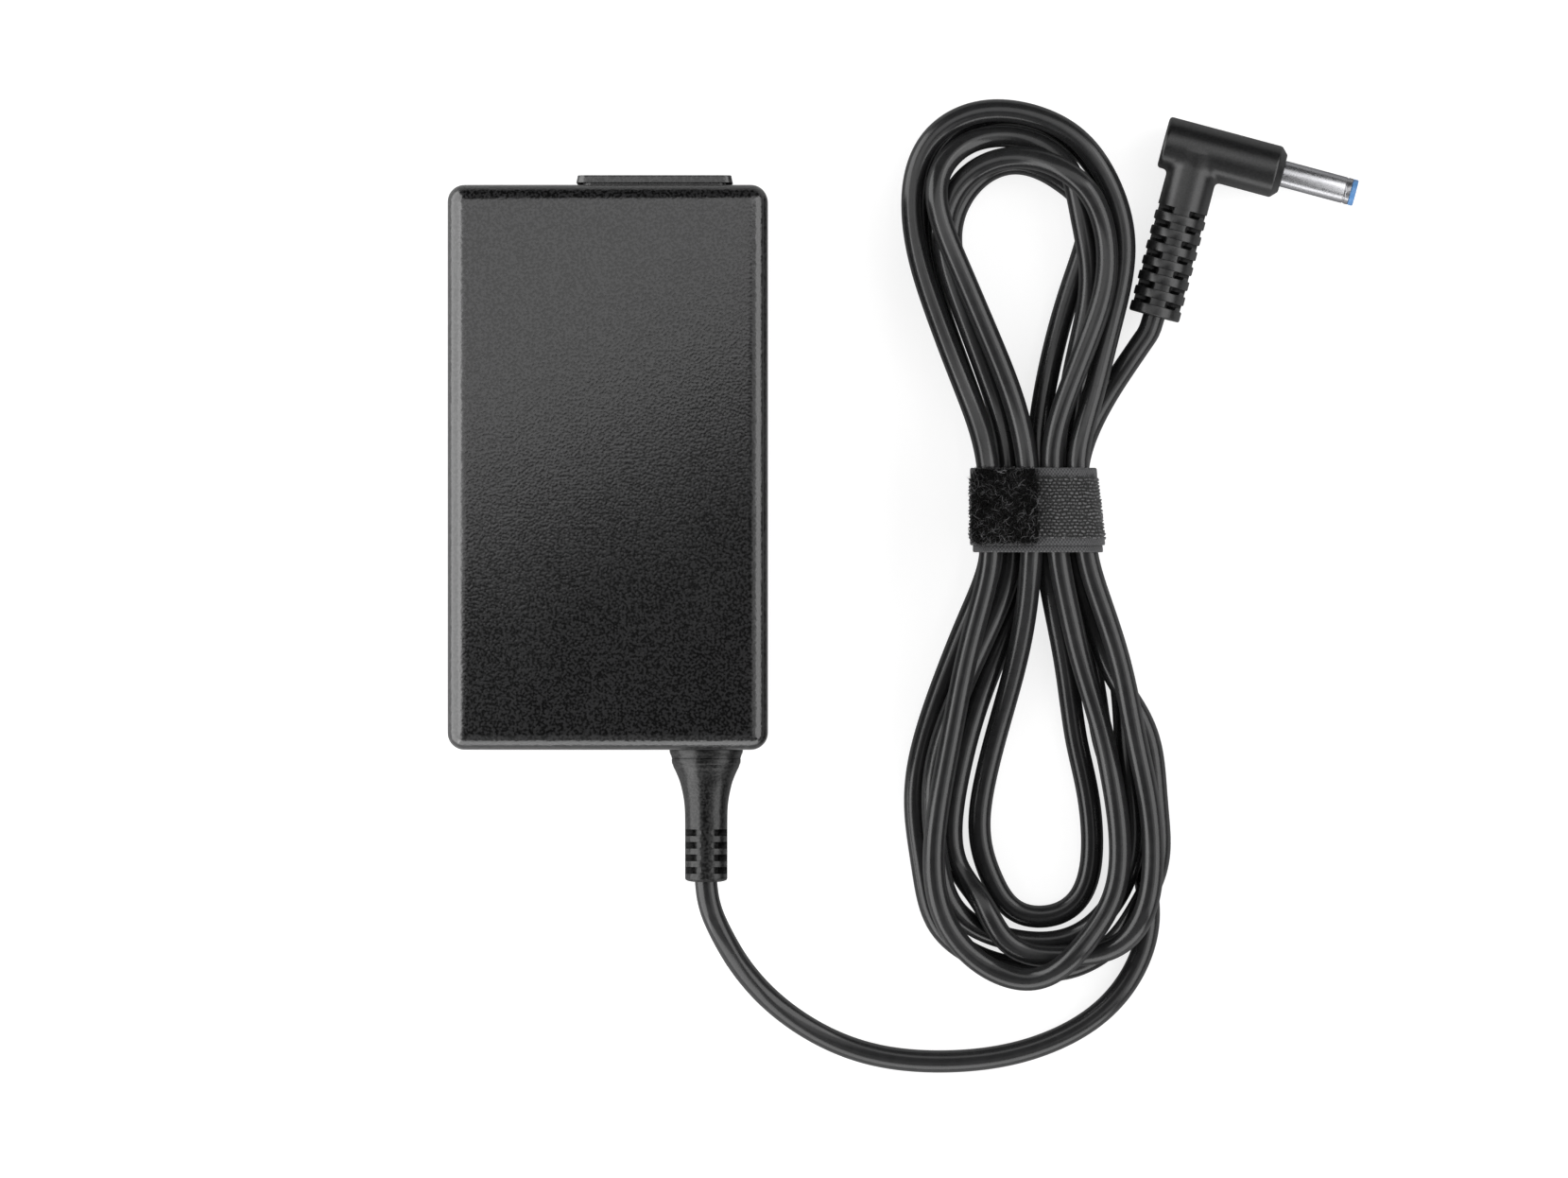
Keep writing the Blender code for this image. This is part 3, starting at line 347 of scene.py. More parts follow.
def tied(index, side):
    """The point where a pass enters or leaves the tie, at its far (1) or near (-1) end."""
    column, row = SLOTS[index]
    x = TIE[0] + COLUMNS[column]
    if row == 1:
        x += (COLUMNS[column + 1] - COLUMNS[column]) / 2
    y = TIE[1] + side * TIED_LENGTH / 2
    return np.array((lean(x, y), y, ROW_Z + ROW_RISE * row))


def bezier(p0, p1, p2, p3, steps=16):
    t = (np.arange(steps) / steps)[:, None]
    return p0 * (1 - t) ** 3 + 3 * p1 * t * (1 - t) ** 2 + 3 * p2 * t * t * (1 - t) + p3 * t ** 3


def loop(leave, arrive, shape):
    """A leg out of the tie, two quarter turns round the far point, and a leg back into the tie."""
    out_at, far_at, back_at, hold, layers = shape
    marks = []
    for (x, y), layer in zip((out_at, far_at, back_at), layers):
        marks.append(np.array((TIE[0] + x, TIE[1] + y, CORD_R + LAYER * layer)))
    out, far, back = marks

    def along(point, share, other):
        return np.array((0.0, share * (other[1] - point[1]), 0.0))

    def across(point, other):
        return np.array((ROUND * (other[0] - point[0]), 0.0, 0.0))

    return np.vstack((
        bezier(leave, leave + along(leave, hold[0], out), out + along(out, hold[2], leave), out),
        bezier(out, out + along(out, ROUND, far), far + across(far, out), far),
        bezier(far, far + across(far, back), back + along(back, ROUND, far), back),
        bezier(back, back + along(back, hold[2], arrive),
               arrive + along(arrive, hold[1], back), arrive)))


# %% One line from the loops
def smooth(points, steps=10):
    """A curve through all the points."""
    p = np.array(points, float)
    p = np.vstack((2 * p[0] - p[1], p, 2 * p[-1] - p[-2]))
    t = (np.arange(steps) / steps)[:, None]
    pieces = []
    for a, b, c, d in zip(p, p[1:], p[2:], p[3:]):
        cubic = t * (2 * a - 5 * b + 4 * c - d + t * (3 * (b - c) + d - a))
        pieces.append(b + 0.5 * t * (c - a + cubic))
    return np.vstack(pieces + [p[-2:-1]])


def lengths(points):
    steps = np.linalg.norm(np.diff(points, axis=0), axis=1)
    return np.concatenate(([0.0], np.cumsum(steps)))


def evenly(points, spacing):
    run = lengths(points)
    wanted = np.linspace(0, run[-1], round(run[-1] / spacing) + 1)
    return np.stack([np.interp(wanted, run, points[:, k]) for k in range(3)], axis=1)


def cord_route():
    dip = tied(0, -1) + np.array((0.6, -6.0, -0.8))
    pieces = [smooth(list(LEAD_ROUTE) + [dip, tied(0, -1)])]
    for turn, (top, low) in enumerate(zip(TOP_LOOPS, LOW_LOOPS)):
        up, down, again = 2 * turn, 2 * turn + 1, 2 * turn + 2
        pieces.append(loop(tied(up, 1), tied(down, 1), top))
        pieces.append(loop(tied(down, -1), tied(again, -1), low))
    neck_way = Matrix.Rotation(PLUG_TURN, 3, "Z") @ Vector((0, -1, 0))
    end = PLUG_AT + neck_way * (NECK_LENGTH + GAP)
    before = end + neck_way * CORD_D / 2
    last_pass = [tied(10, -1), tied(10, 1)]
    pieces.append(smooth(last_pass + list(TAIL_ROUTE) + [tuple(before), tuple(end)]))
    return evenly(np.vstack(pieces), FINE)


route = cord_route()
print("route: %d points, %.0f mm" % (len(route), lengths(route)[-1]))

# %% Lay the cord
LAY_ROUNDS, LAST_ROUNDS = 500, 60       # nothing sinks in the last rounds, so all can part
SEARCH_ROUNDS = 25                      # between two searches for stretches that are near
SAME_BEND = 3.5 * CORD_D                # points nearer than this along the cord don't push
PUSH, LEVEL, HOMING, WEIGHT = 0.35, 0.35, 0.03, 0.02
STIFF, LAST_STIFF = 0.5, 0.25
LONGEST_MOVE = 0.5
TIE_REACH = 15                          # the tied passes lie this near to the tie's middle
HELD_FIRST, HELD_LAST = 10, 4           # points that the strain relief and the plug hold
INTO_BORE = 1.5


def lay(home, held, distance):
    """Push stretches that touch apart, and let them sink and straighten, until they lie clear."""
    nodes = home.copy()
    run = lengths(nodes)
    first, second = np.triu_indices(len(run), 1)
    apart = run[second] - run[first] > SAME_BEND
    first, second = first[apart], second[apart]
    for step in range(LAY_ROUNDS):
        if step % SEARCH_ROUNDS == 0:
            near = np.linalg.norm(nodes[first] - nodes[second], axis=1) < 2 * distance
            one, two = first[near], second[near]
        way = nodes[one] - nodes[two]
        space = np.linalg.norm(way, axis=1)
        touch = space < distance
        push = way[touch] / space[touch][:, None] * (PUSH * (distance - space[touch]))[:, None]
        move = np.zeros_like(nodes)
        np.add.at(move, one[touch], push)
        np.add.at(move, two[touch], -push)
        settling = step < LAY_ROUNDS - LAST_ROUNDS
        bend = (4 * nodes[1:-3] + 4 * nodes[3:-1] - nodes[:-4] - nodes[4:]) / 6 - nodes[2:-2]
        move[2:-2] += (STIFF if settling else LAST_STIFF) * bend
        if settling:
            move[1:-1, 2] += LEVEL * ((nodes[:-2] + nodes[2:]) / 2 - nodes[1:-1])[:, 2]
            move[:, :2] += HOMING * (home - nodes)[:, :2]
            move[:, 2] -= WEIGHT
        move[held] = 0.0
        nodes = nodes + np.clip(move, -LONGEST_MOVE, LONGEST_MOVE)
        nodes[:, 2] = np.maximum(nodes[:, 2], CORD_R)
    return nodes


beside, along = np.abs(route[:, 0] - TIE[0]), np.abs(route[:, 1] - TIE[1])
held = (along < TIED_LENGTH / 2 + 0.01) & (beside < TIE_REACH)
held[:HELD_FIRST] = True
held[-HELD_LAST:] = True
laid = lay(route, held, CORD_D + CLEARANCE)
last_step = laid[-1] - laid[-2]
into_relief = laid[0] + (0.0, INTO_BORE, 0.0)
into_plug = laid[-1] + INTO_BORE * last_step / np.linalg.norm(last_step)
cord_line = MM * smooth(np.vstack((into_relief, laid, into_plug)), 3)
print("cord: %.3f m on %d points" % (lengths(cord_line)[-1], len(cord_line)))


# %% [markdown]
# ## Geometry Nodes that can be reused
# A tree with named sizes is the right tool for what repeats or follows a path. `new_tree` starts
# one with its sizes as inputs, and `grown` runs it on a base object and keeps its result as a mesh.

# %% Helpers for geometry trees
def new_tree(name, sizes):
    tree = bpy.data.node_groups.new(name, "GeometryNodeTree")
    tree.interface.new_socket("Geometry", in_out="INPUT", socket_type="NodeSocketGeometry")
    for label, value in sizes.items():
        kind = "NodeSocketFloat"
        if isinstance(value, int):
            kind = "NodeSocketInt"
        if value is None:
            kind = "NodeSocketObject"
        socket = tree.interface.new_socket(label, in_out="INPUT", socket_type=kind)
        if value is not None:
            socket.default_value = value
    tree.interface.new_socket("Geometry", in_out="OUTPUT", socket_type="NodeSocketGeometry")
    return tree, tree.nodes.new("NodeGroupInput").outputs


def end_tree(tree, geometry, material):
    real = add_node(tree, "GeometryNodeRealizeInstances", {0: geometry})
    coated = add_node(tree, "GeometryNodeSetMaterial",
                      {"Geometry": real.outputs[0], "Material": material})
    add_node(tree, "NodeGroupOutput", {0: coated.outputs[0]})


def evaluated_mesh(thing):
    """What an object's modifiers make of it, as a plain mesh."""
    seen_by = bpy.context.evaluated_depsgraph_get()
    return bpy.data.meshes.new_from_object(thing.evaluated_get(seen_by))


def grown(name, base, tree, sizes):
    """Run a tree on a base object and return its result as a new plain mesh object."""
    step = base.modifiers.new(name, "NODES")
    step.node_group = tree
    for socket in tree.interface.items_tree:
        if socket.in_out == "INPUT" and socket.name in sizes:
            step[socket.identifier] = sizes[socket.name]
    mesh = evaluated_mesh(base)
    mesh.name = name
    made = linked(name, mesh)
    bpy.data.objects.remove(base)
    print("%s: %d faces" % (name, len(mesh.polygons)))
    return made


# %% [markdown]
# ## The cord
# The sheath could be a bevelled curve. Here a tree sweeps a circle along the laid line, because
# its diameter and sides are then named inputs, and the result is a plain mesh. Twenty sides with
# smooth shading look round, and a point every 0.8 mm keeps the tightest folds smooth.

# %% Sweep the sheath
def sheath_tree():
    tree, size = new_tree("sheath", {"Diameter": 0.003, "Sides": 12})
    radius = calculate(tree, "MULTIPLY", size["Diameter"], 0.5)
    ring = add_node(tree, "GeometryNodeCurvePrimitiveCircle", {"Resolution": size["Sides"]})
    tree.links.new(radius, ring.inputs[4])
    swept = add_node(tree, "GeometryNodeCurveToMesh",
                     {"Curve": size["Geometry"], "Profile Curve": ring.outputs["Curve"],
                      "Fill Caps": True})
    shaded = add_node(tree, "GeometryNodeSetShadeSmooth", {"Geometry": swept.outputs[0]})
    end_tree(tree, shaded.outputs[0], cord_sheath)
    return tree


def line_through(name, points, closed=False):
    """A curve object of straight stretches through points in metres."""
    data = bpy.data.curves.new(name, "CURVE")
    data.dimensions = "3D"
    spline = data.splines.new("POLY")
    spline.points.add(len(points) - 1)
    spline.points.foreach_set("co", np.column_stack((points, np.ones(len(points)))).ravel())
    spline.use_cyclic_u = closed
    return linked(name, data)


cord = grown("cord", line_through("cord_line", cord_line), sheath_tree(),
             {"Diameter": CORD_D * MM, "Sides": 20})
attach(cord, "adapter")
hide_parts("cord_lead", "cord_hank", "cord_tail")


# %% [markdown]
# ## Skins and turned shapes
# Most moulded pieces here are either a row of rings skinned together or a profile turned about an
# axis. A Bevel modifier rounds edges too, but rings give each small radius its own size and place.
# A flat cap by a rounded edge keeps its flat shading if one more ring lies just inside it.

# %% Helpers for rings
CREASE = 32.0                   # degrees: an edge that turns more than this stays sharp


def shade(mesh, crease=CREASE):
    mesh.shade_smooth()
    mesh.set_sharp_from_angle(angle=math.radians(crease))


def finished(name, bm, material, crease=CREASE):
    """Turn a bmesh drawn in millimetres into an object in metres, smooth but for its creases."""
    bmesh.ops.recalc_face_normals(bm, faces=bm.faces)
    bmesh.ops.scale(bm, vec=(MM, MM, MM), verts=bm.verts)
    mesh = bpy.data.meshes.new(name)
    bm.to_mesh(mesh)
    bm.free()
    shade(mesh, crease)
    mesh.materials.append(material)
    return linked(name, mesh)


def loft(rings, closed=False, bm=None):
    bm = bm or bmesh.new()
    rows = [[bm.verts.new(point) for point in ring] for ring in rings]
    count = len(rows[0])
    pairs = list(zip(rows, rows[1:]))
    if closed:
        pairs.append((rows[-1], rows[0]))
    for low, high in pairs:
        for i in range(count):
            j = (i + 1) % count
            bm.faces.new((low[i], low[j], high[j], high[i]))
    if not closed:
        bm.faces.new(list(reversed(rows[0])))
        bm.faces.new(rows[-1])
    return bm


# %% Outlines of rings
def arc(radius, start, stop, steps):
    angles = [math.radians(start + (stop - start) * i / steps) for i in range(steps + 1)]
    return [(radius * math.cos(a), radius * math.sin(a)) for a in angles]


def circle(radius, sides):
    return arc(radius, 0, 360 - 360 / sides, sides - 1)


def rounded(half_u, half_v, radius, steps=10):
    points = []
    for side_u, side_v, start in ((1, 1, 0), (-1, 1, 90), (-1, -1, 180), (1, -1, 270)):
        centre_u, centre_v = side_u * (half_u - radius), side_v * (half_v - radius)
        points += [(centre_u + u, centre_v + v) for u, v in arc(radius, start, start + 90, steps)]
    return points


def upright(outline, y, at=(0, 0)):
    return [(u + at[0], y, v + at[1]) for u, v in outline]


def turned(profile, at=(0, 0), sides=56, bm=None):
    """Revolve (along, radius) pairs about the Y direction through at = (x, z)."""
    return loft([upright(circle(radius, sides), along, at) for along, radius in profile], bm=bm)


# %% [markdown]
# A Boolean cuts one finished shape out of another, or joins them. Each piece is then dressed: it
# says which body it rides on and which solid of the frame it stands for.

# %% Cut and dress
def cut(target, cutter_bm, operation="DIFFERENCE"):
    """Apply a Boolean to a finished object at once, and drop the cutter."""
    cutter = finished("cutter", cutter_bm, target.data.materials[0])
    step = target.modifiers.new("cut", "BOOLEAN")
    step.operation, step.solver, step.object = operation, "EXACT", cutter
    mesh = evaluated_mesh(target)
    target.modifiers.clear()
    target.data = mesh
    shade(mesh)
    bpy.data.objects.remove(cutter)
    return target


def dress(piece, node, body="adapter"):
    """The piece rides on its body and stands for one solid of the frame."""
    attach(piece, body)
    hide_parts(node)
    return piece


# %% [markdown]
# ## The case
# Two shells meet at mid-height on a tongue. Their outer edges are rounded by about 3 mm, so the
# softboxes draw a band of light along the left, near and right edges. The walls lean in slightly
# so that the shells leave their moulds. A cube with a Bevel modifier would come close, but rings
# also draw the walls, the tongue and the small round where the shells meet.

# %% Rings of a shell
CASE_WIDTH, CASE_LENGTH, CASE_HEIGHT = 54.1, 95.4, 28.5
CASE_Y = -0.8
CORNER, EDGE, WALL, DRAFT, LIP = 2.9, 3.1, 2.0, 0.05, 1.5
SEAM_Z = CASE_HEIGHT / 2
FRONT_Y = CASE_Y + CASE_LENGTH / 2
BACK_Y = CASE_Y - CASE_LENGTH / 2
INLET_X, RELIEF_X = 7.9, 16.6
INLET_NECK = (24.0, 17.4)
RELIEF_HOLE_R = 5.3
EDGE_STEPS = 10
FLAT_MARGIN = 0.25              # the extra ring that keeps a flat face flat
SEAM_ROUND = ((0.25, 0), (0.07, 0.07), (0, 0.25), (0.01, 0.5))  # insets and rises from the seam


def case_ring(inset, z):
    half_x, half_y = CASE_WIDTH / 2 - inset, CASE_LENGTH / 2 - inset
    outline = rounded(half_x, half_y, max(CORNER - inset, 0.8))
    return [(u, v + CASE_Y, z) for u, v in outline]


def shell_rings(side):
    """Rings from inside the shell, over the seam, up the wall and round into the flat face."""
    seam = SEAM_Z + side * GAP / 2
    outer_z = SEAM_Z + side * CASE_HEIGHT / 2
    tongue = WALL / 2 if side > 0 else WALL / 2 + GAP
    rings = [case_ring(WALL + 2 * DRAFT, outer_z - side * WALL), case_ring(WALL, seam + LIP),
             case_ring(tongue, seam + LIP), case_ring(tongue, seam)]
    rings += [case_ring(inset, seam + side * rise) for inset, rise in SEAM_ROUND]
    for u, v in arc(EDGE, 0, 90, EDGE_STEPS):
        rings.append(case_ring(DRAFT + EDGE - u, outer_z - side * (EDGE - v)))
    rings.append(case_ring(DRAFT + EDGE + FLAT_MARGIN, outer_z))
    return rings


print("case: %.1f x %.1f x %.1f mm" % (CASE_WIDTH, CASE_LENGTH, CASE_HEIGHT))

# %% Shells
def box_bm(low, high):
    bm = bmesh.new()
    bmesh.ops.create_cube(bm, size=1.0)
    bmesh.ops.scale(bm, vec=Vector(high) - Vector(low), verts=bm.verts)
    bmesh.ops.translate(bm, vec=(Vector(high) + Vector(low)) / 2, verts=bm.verts)
    return bm


def shell_cutouts():
    half_u, half_v = INLET_NECK[0] / 2 + GAP, INLET_NECK[1] / 2 + GAP
    window = box_bm((INLET_X - half_u, FRONT_Y - 6, SEAM_Z - half_v),
                    (INLET_X + half_u, FRONT_Y + 6, SEAM_Z + half_v))
    hole = [(BACK_Y - 4, RELIEF_HOLE_R), (BACK_Y + 6, RELIEF_HOLE_R)]
    return turned(hole, (RELIEF_X, SEAM_Z), bm=window)


for name, side in (("upper_shell", 1), ("lower_shell", -1)):
    shell = finished(name.replace("shell", "case"), loft(shell_rings(side)), case_plastic)
    dress(cut(shell, shell_cutouts()), name)
    print("%s: %d faces" % (shell.name, len(shell.data.polygons)))

# %% [markdown]
# ## The mains inlet
# The collar stands proud of the far end. Its recess is the three-lobed one that a mains lead's
# three-hole connector fits, and three pins stand in it. The trefoil is a circle whose radius
# follows a cosine with three waves. A Boolean sinks it, because the collar's own rings are
# rectangles and don't match it.

# %% Inlet and pins
COLLAR_HALF = (13.2, 10.0)      # at the case
RIM_HALF = (13.0, 10.0)         # at the face, as the collar's sides slant in
COLLAR_CORNER, COLLAR_PROUD = 1.6, 1.6
RECESS_DEPTH = 13.0
RECESS_EDGE = ((-0.7, 0.0), (-0.35, 0.12), (0.0, 0.45), (0.2, 0.7))    # (along, growth)
PIN_D, PIN_ROUND = 2.36, 0.9
PIN_PLAY = 0.1                  # round each pin in its hole
PINS = {"line_pin": (-4.3, -2.07), "neutral_pin": (4.3, -2.07), "earth_pin": (0.0, 4.13)}
TREFOIL_R, TREFOIL_WAVE, TREFOIL_STEPS = 6.3, 1.75, 120


def trefoil(grow=0.0):
    points = []
    for i in range(TREFOIL_STEPS):
        angle = 2 * math.pi * i / TREFOIL_STEPS
        radius = TREFOIL_R + grow + TREFOIL_WAVE * math.cos(3 * (angle - math.pi / 2))
        points.append((radius * math.cos(angle), radius * math.sin(angle)))
    return points


face = FRONT_Y + COLLAR_PROUD
recess_end = face - RECESS_DEPTH
base = FRONT_Y + GAP
neck = (INLET_NECK[0] / 2, INLET_NECK[1] / 2)
collar_section = [(recess_end - 3.5, neck, 0.0), (base, neck, 0.0), (base, COLLAR_HALF, -0.1),
                  (base + 0.1, COLLAR_HALF, 0.0), (face - 0.3, RIM_HALF, 0.0)]
collar_section += [(face - along, RIM_HALF, -drop) for along, drop in
                   ((0.2, 0.0), (0.11, 0.02), (0.03, 0.09), (0.0, 0.2), (0.0, 0.4))]
collar_rings = []
for y, (half_u, half_v), grow in collar_section:
    outline = rounded(half_u + grow, half_v + grow, COLLAR_CORNER)
    collar_rings.append(upright(outline, y, (INLET_X, SEAM_Z)))
inlet = finished("inlet", loft(collar_rings), socket_plastic)
recess = [upright(trefoil(grow), face + along, (INLET_X, SEAM_Z))
          for along, grow in ((-RECESS_DEPTH, 0.0), *RECESS_EDGE)]
cut(inlet, loft(recess))
pin_holes = bmesh.new()
hole_r = PIN_D / 2 + PIN_PLAY
for u, v in PINS.values():
    turned([(recess_end - 5, hole_r), (recess_end + 1, hole_r)], (INLET_X + u, SEAM_Z + v), 32,
           pin_holes)
cut(inlet, pin_holes)
dress(inlet, "inlet_socket")
print("inlet: %d faces" % len(inlet.data.polygons))

# %% [markdown]
# Contact metal is drawn and plated, so its scratches run along the pin. A noise that is stretched
# along one axis draws them.

# %% Pin metal
def metal(name, colour, roughness, scratch=0.0003, along=(1, 1, 1)):
    made, tree, shader = new_material(name, colour, roughness, 1.0)
    shader.inputs["Specular Tint"].default_value = (0.25, 0.25, 0.27, 1.0)
    lines = noise(tree, scratch, 3.0, along)
    tree.links.new(between(tree, lines, roughness * 0.7, roughness * 1.4),
                   shader.inputs["Roughness"])
    emboss(tree, shader, lines, 0.25, 0.00001)
    return made


pin_metal = metal("pin_metal", (0.72, 0.66, 0.52), 0.24, along=(1, 0.05, 1))
pin_tip, pin_r = face - 2.0, PIN_D / 2
pin_profile = [(recess_end - 6.0, pin_r), (pin_tip - PIN_ROUND, pin_r)]
pin_profile += [(pin_tip - PIN_ROUND + s, pin_r - PIN_ROUND + c)
                for c, s in arc(PIN_ROUND, 0, 70, 6)]
for name, (u, v) in PINS.items():
    pin_bm = turned(pin_profile, (INLET_X + u, SEAM_Z + v), 36)
    dress(finished(name.replace("pin", "contact"), pin_bm, pin_metal), name)
print("contacts: %d pins" % len(PINS))

# %% [markdown]
# ## Pockets in a strain relief
# A moulded strain relief bends because rows of pockets are sunk into it, in pairs with a spine
# between them. One pair is drawn as a cutter, a Geometry Nodes tree repeats it along the relief,
# and a Mesh Boolean in the same tree cuts all the pairs at once.

# %% Repeat a cutter along a relief
CUT_R = 5.4                     # the cutter's outer radius, outside everything
POCKET_CREASE = 30.0            # degrees


def row_of(tree, thing, count, pitch):
    """Copies of an object in a row along Y."""
    step = add_node(tree, "ShaderNodeCombineXYZ", {"Y": pitch})
    row = add_node(tree, "GeometryNodeMeshLine", {"Count": count})
    tree.links.new(step.outputs[0], row.inputs["Offset"])
    one = add_node(tree, "GeometryNodeObjectInfo", {"Object": thing})
    copies = add_node(tree, "GeometryNodeInstanceOnPoints",
                      {"Points": row.outputs[0], "Instance": one.outputs["Geometry"]})
    return copies.outputs[0]


def pocket_tree(material):
    tree, size = new_tree("pockets", {"Cutter": None, "Count": 4, "Pitch": 0.002})
    pairs = row_of(tree, size["Cutter"], size["Count"], size["Pitch"])
    real = add_node(tree, "GeometryNodeRealizeInstances", {0: pairs})
    carved = add_node(tree, "GeometryNodeMeshBoolean",
                      {"Mesh 1": size["Geometry"], "Mesh 2": real.outputs[0]},
                      operation="DIFFERENCE", solver="EXACT")
    end_tree(tree, carved.outputs[0], material)
    return tree


def pocketed(name, body, cutter_bm, count, pitch, material):
    cutter = finished("pocket_pair", cutter_bm, material)
    made = grown(name, body, pocket_tree(material),
                 {"Cutter": cutter, "Count": count, "Pitch": pitch * MM})
    shade(made.data, POCKET_CREASE)
    bpy.data.objects.remove(cutter)
    return made


# %% Draw a pair of pockets
def wedge(bm, slices):
    """A pocket bent round the Y axis: each slice is (angle from the top, depth, low, high)."""
    rings = []
    for angle, core, low, high in slices:
        x, z = math.sin(math.radians(angle)), math.cos(math.radians(angle))
        corners = ((core, low), (CUT_R, low), (CUT_R, high), (core, high))
        rings.append([(radius * x, along, radius * z) for radius, along in corners])
    loft(rings, bm=bm)


def four_ways(slices):
    """The same pocket on both sides of the spine, on top and underneath."""
    bm = bmesh.new()
    for turn, side in ((0, 1), (0, -1), (180, 1), (180, -1)):
        wedge(bm, [(turn + side * angle, core, low, high) for angle, core, low, high in slices])
    return bm


def round_start(spine_half, radius, core, width, shares):
    """The slices of a pocket's rounded end, which begins beside the spine."""
    start = math.degrees(math.asin(spine_half / radius))
    return [(start + turn, core, width * (0.5 - share), width * (0.5 + share))
            for turn, share in shares]


# %% [markdown]
# ## The output strain relief
# It is turned about the cord: a flange against the case, a bell that narrows to the cord, and four
# rows of pockets above and below, which stop short of the sides. Its profile is a list of points,
# smoothed along the bell, because no simple curve fits the moulding.

# %% Turn and pocket the relief
RELIEF_END_Y = -70.86
RELIEF_R = 3.58
SLOT_PITCH, SLOTS_FROM_END = 2.12, 1.4
POCKET = 1.15                   # a pocket's width along the cord
POCKET_CORE = 2.1               # the radius that the pockets go down to
POCKET_END = ((0.0, 0.16), (1.2, 0.32), (3.5, 0.42), (7.5, 0.48), (12.0, 0.5))
BORE = CORD_R + 0.06            # the hole that the cord comes out of
SPINE = 1.7                     # the web between two pockets
# Pairs of a distance and a radius: STEM runs into the case from its wall, FLANGE and BELL run
# outwards from just off the wall, and MOUTH is measured from the relief's end.
STEM = ((6.0, 2.6), (2.7, 2.6), (2.7, 5.0), (-0.03, 5.0), (-0.03, 6.2))
FLANGE = ((-0.1, 6.2), (0.1, 6.18), (0.35, 6.1), (0.6, 5.98), (0.85, 5.89), (1.05, 5.86),
          (1.12, 5.78), (1.2, 5.78), (1.27, 5.84), (1.95, 5.8), (2.05, 5.76))
BELL = ((2.15, 5.68), (2.7, 5.5), (3.35, 5.18), (5.0, 4.5), (6.6, 4.08), (8.2, 3.78), (9.9, 3.62),
        (12.0, RELIEF_R))
MOUTH = ((0.62, RELIEF_R), (0.4, 3.5), (0.27, 3.34), (0.15, 3.05), (0.05, 2.6), (0, 2.2),
         (0.12, BORE), (1.2, BORE))

outside = BACK_Y - GAP
relief_profile = [(BACK_Y + along, radius) for along, radius in STEM]
relief_profile += [(outside - along, radius) for along, radius in FLANGE]
bell = smooth([(outside - along, radius, 0) for along, radius in BELL], 4)
relief_profile += [(along, radius) for along, radius, _ in bell]
relief_profile += [(RELIEF_END_Y + along, radius) for along, radius in MOUTH]
pocket_slices = round_start(SPINE / 2, RELIEF_R, POCKET_CORE, POCKET, POCKET_END)
pocket_slices += [(angle, POCKET_CORE, 0.0, POCKET) for angle in (35, 45, 55, 65, 72, 77)]
pair_bm = four_ways(pocket_slices)
bmesh.ops.translate(pair_bm, vec=(RELIEF_X, RELIEF_END_Y + SLOTS_FROM_END, SEAM_Z),
                    verts=pair_bm.verts)
relief_body = finished("relief_body", turned(relief_profile, (RELIEF_X, SEAM_Z), 72), relief_rubber)
relief = pocketed("strain_relief", relief_body, pair_bm, 4, SLOT_PITCH, relief_rubber)
dress(relief, "output_relief")

# %% [markdown]
# ## The plug's moulding
# The elbow is two turned bodies that melt into each other with a small fillet, as a mould is
# milled. A Boolean would leave a hard line, so the surface is found from distances instead: where
# the blended distance to both bodies is zero. A voxel mesh of the two gives the faces, and each of
# their corners is then slid along the distance's slope onto that surface.

# %% Distances to turned bodies
PLUG_R = 4.45
PLUG_REAR, PLUG_FRONT = -6.06, 14.84
FILLET = 0.9
VOXEL = 0.17
RIB_R, GROOVE_R, NECK_R = 4.38, 4.05, 4.27
RIBS, RIB_PITCH, GROOVE = 7, 2.64, 1.1
FIRST_GROOVE = -11.38           # the far edge of the first groove
NECK_START = FIRST_GROOVE + GROOVE
BODY_PROFILE = [(PLUG_REAR, 0.0), (PLUG_REAR, 3.95), (PLUG_REAR + 0.12, 4.25),
                (PLUG_REAR + 0.35, 4.41), (PLUG_REAR + 0.6, PLUG_R), (PLUG_FRONT - 1.35, PLUG_R),
                (PLUG_FRONT - 1.1, 4.37), (PLUG_FRONT - 0.1, 3.35), (PLUG_FRONT, 3.15),
                (PLUG_FRONT, 0.0)]
NECK_PROFILE = [(NECK_START - 1.0, 0.0), (NECK_START - 1.0, NECK_R), (-0.5, NECK_R - 0.05),
                (-0.5, 0.0)]


def distance_to_turned(along, radius, profile):
    """Signed distance, below zero inside, from points to a body turned from an open profile."""
    best = np.full(len(along), 1e9)
    inside = np.zeros(len(along), bool)
    for (a0, r0), (a1, r1) in zip(profile, profile[1:]):
        da, dr = a1 - a0, r1 - r0
        share = np.clip(((along - a0) * da + (radius - r0) * dr) / (da * da + dr * dr), 0, 1)
        best = np.minimum(best, np.hypot(along - a0 - share * da, radius - r0 - share * dr))
        if da:
            under = (along >= min(a0, a1)) & (along < max(a0, a1))
            inside |= under & (radius < r0 + (along - a0) / da * dr)
    return np.where(inside, -best, best)


def plug_distance(p):
    body = distance_to_turned(p[:, 0], np.hypot(p[:, 1], p[:, 2]), BODY_PROFILE)
    stem = distance_to_turned(p[:, 1], np.hypot(p[:, 0], p[:, 2]), NECK_PROFILE)
    h = np.clip(0.5 + 0.5 * (stem - body) / FILLET, 0, 1)
    return stem * (1 - h) + body * h - FILLET * h * (1 - h)


middle = plug_distance(np.zeros((1, 3)))[0]
print("plug: its axis lies %.2f mm inside" % -middle)

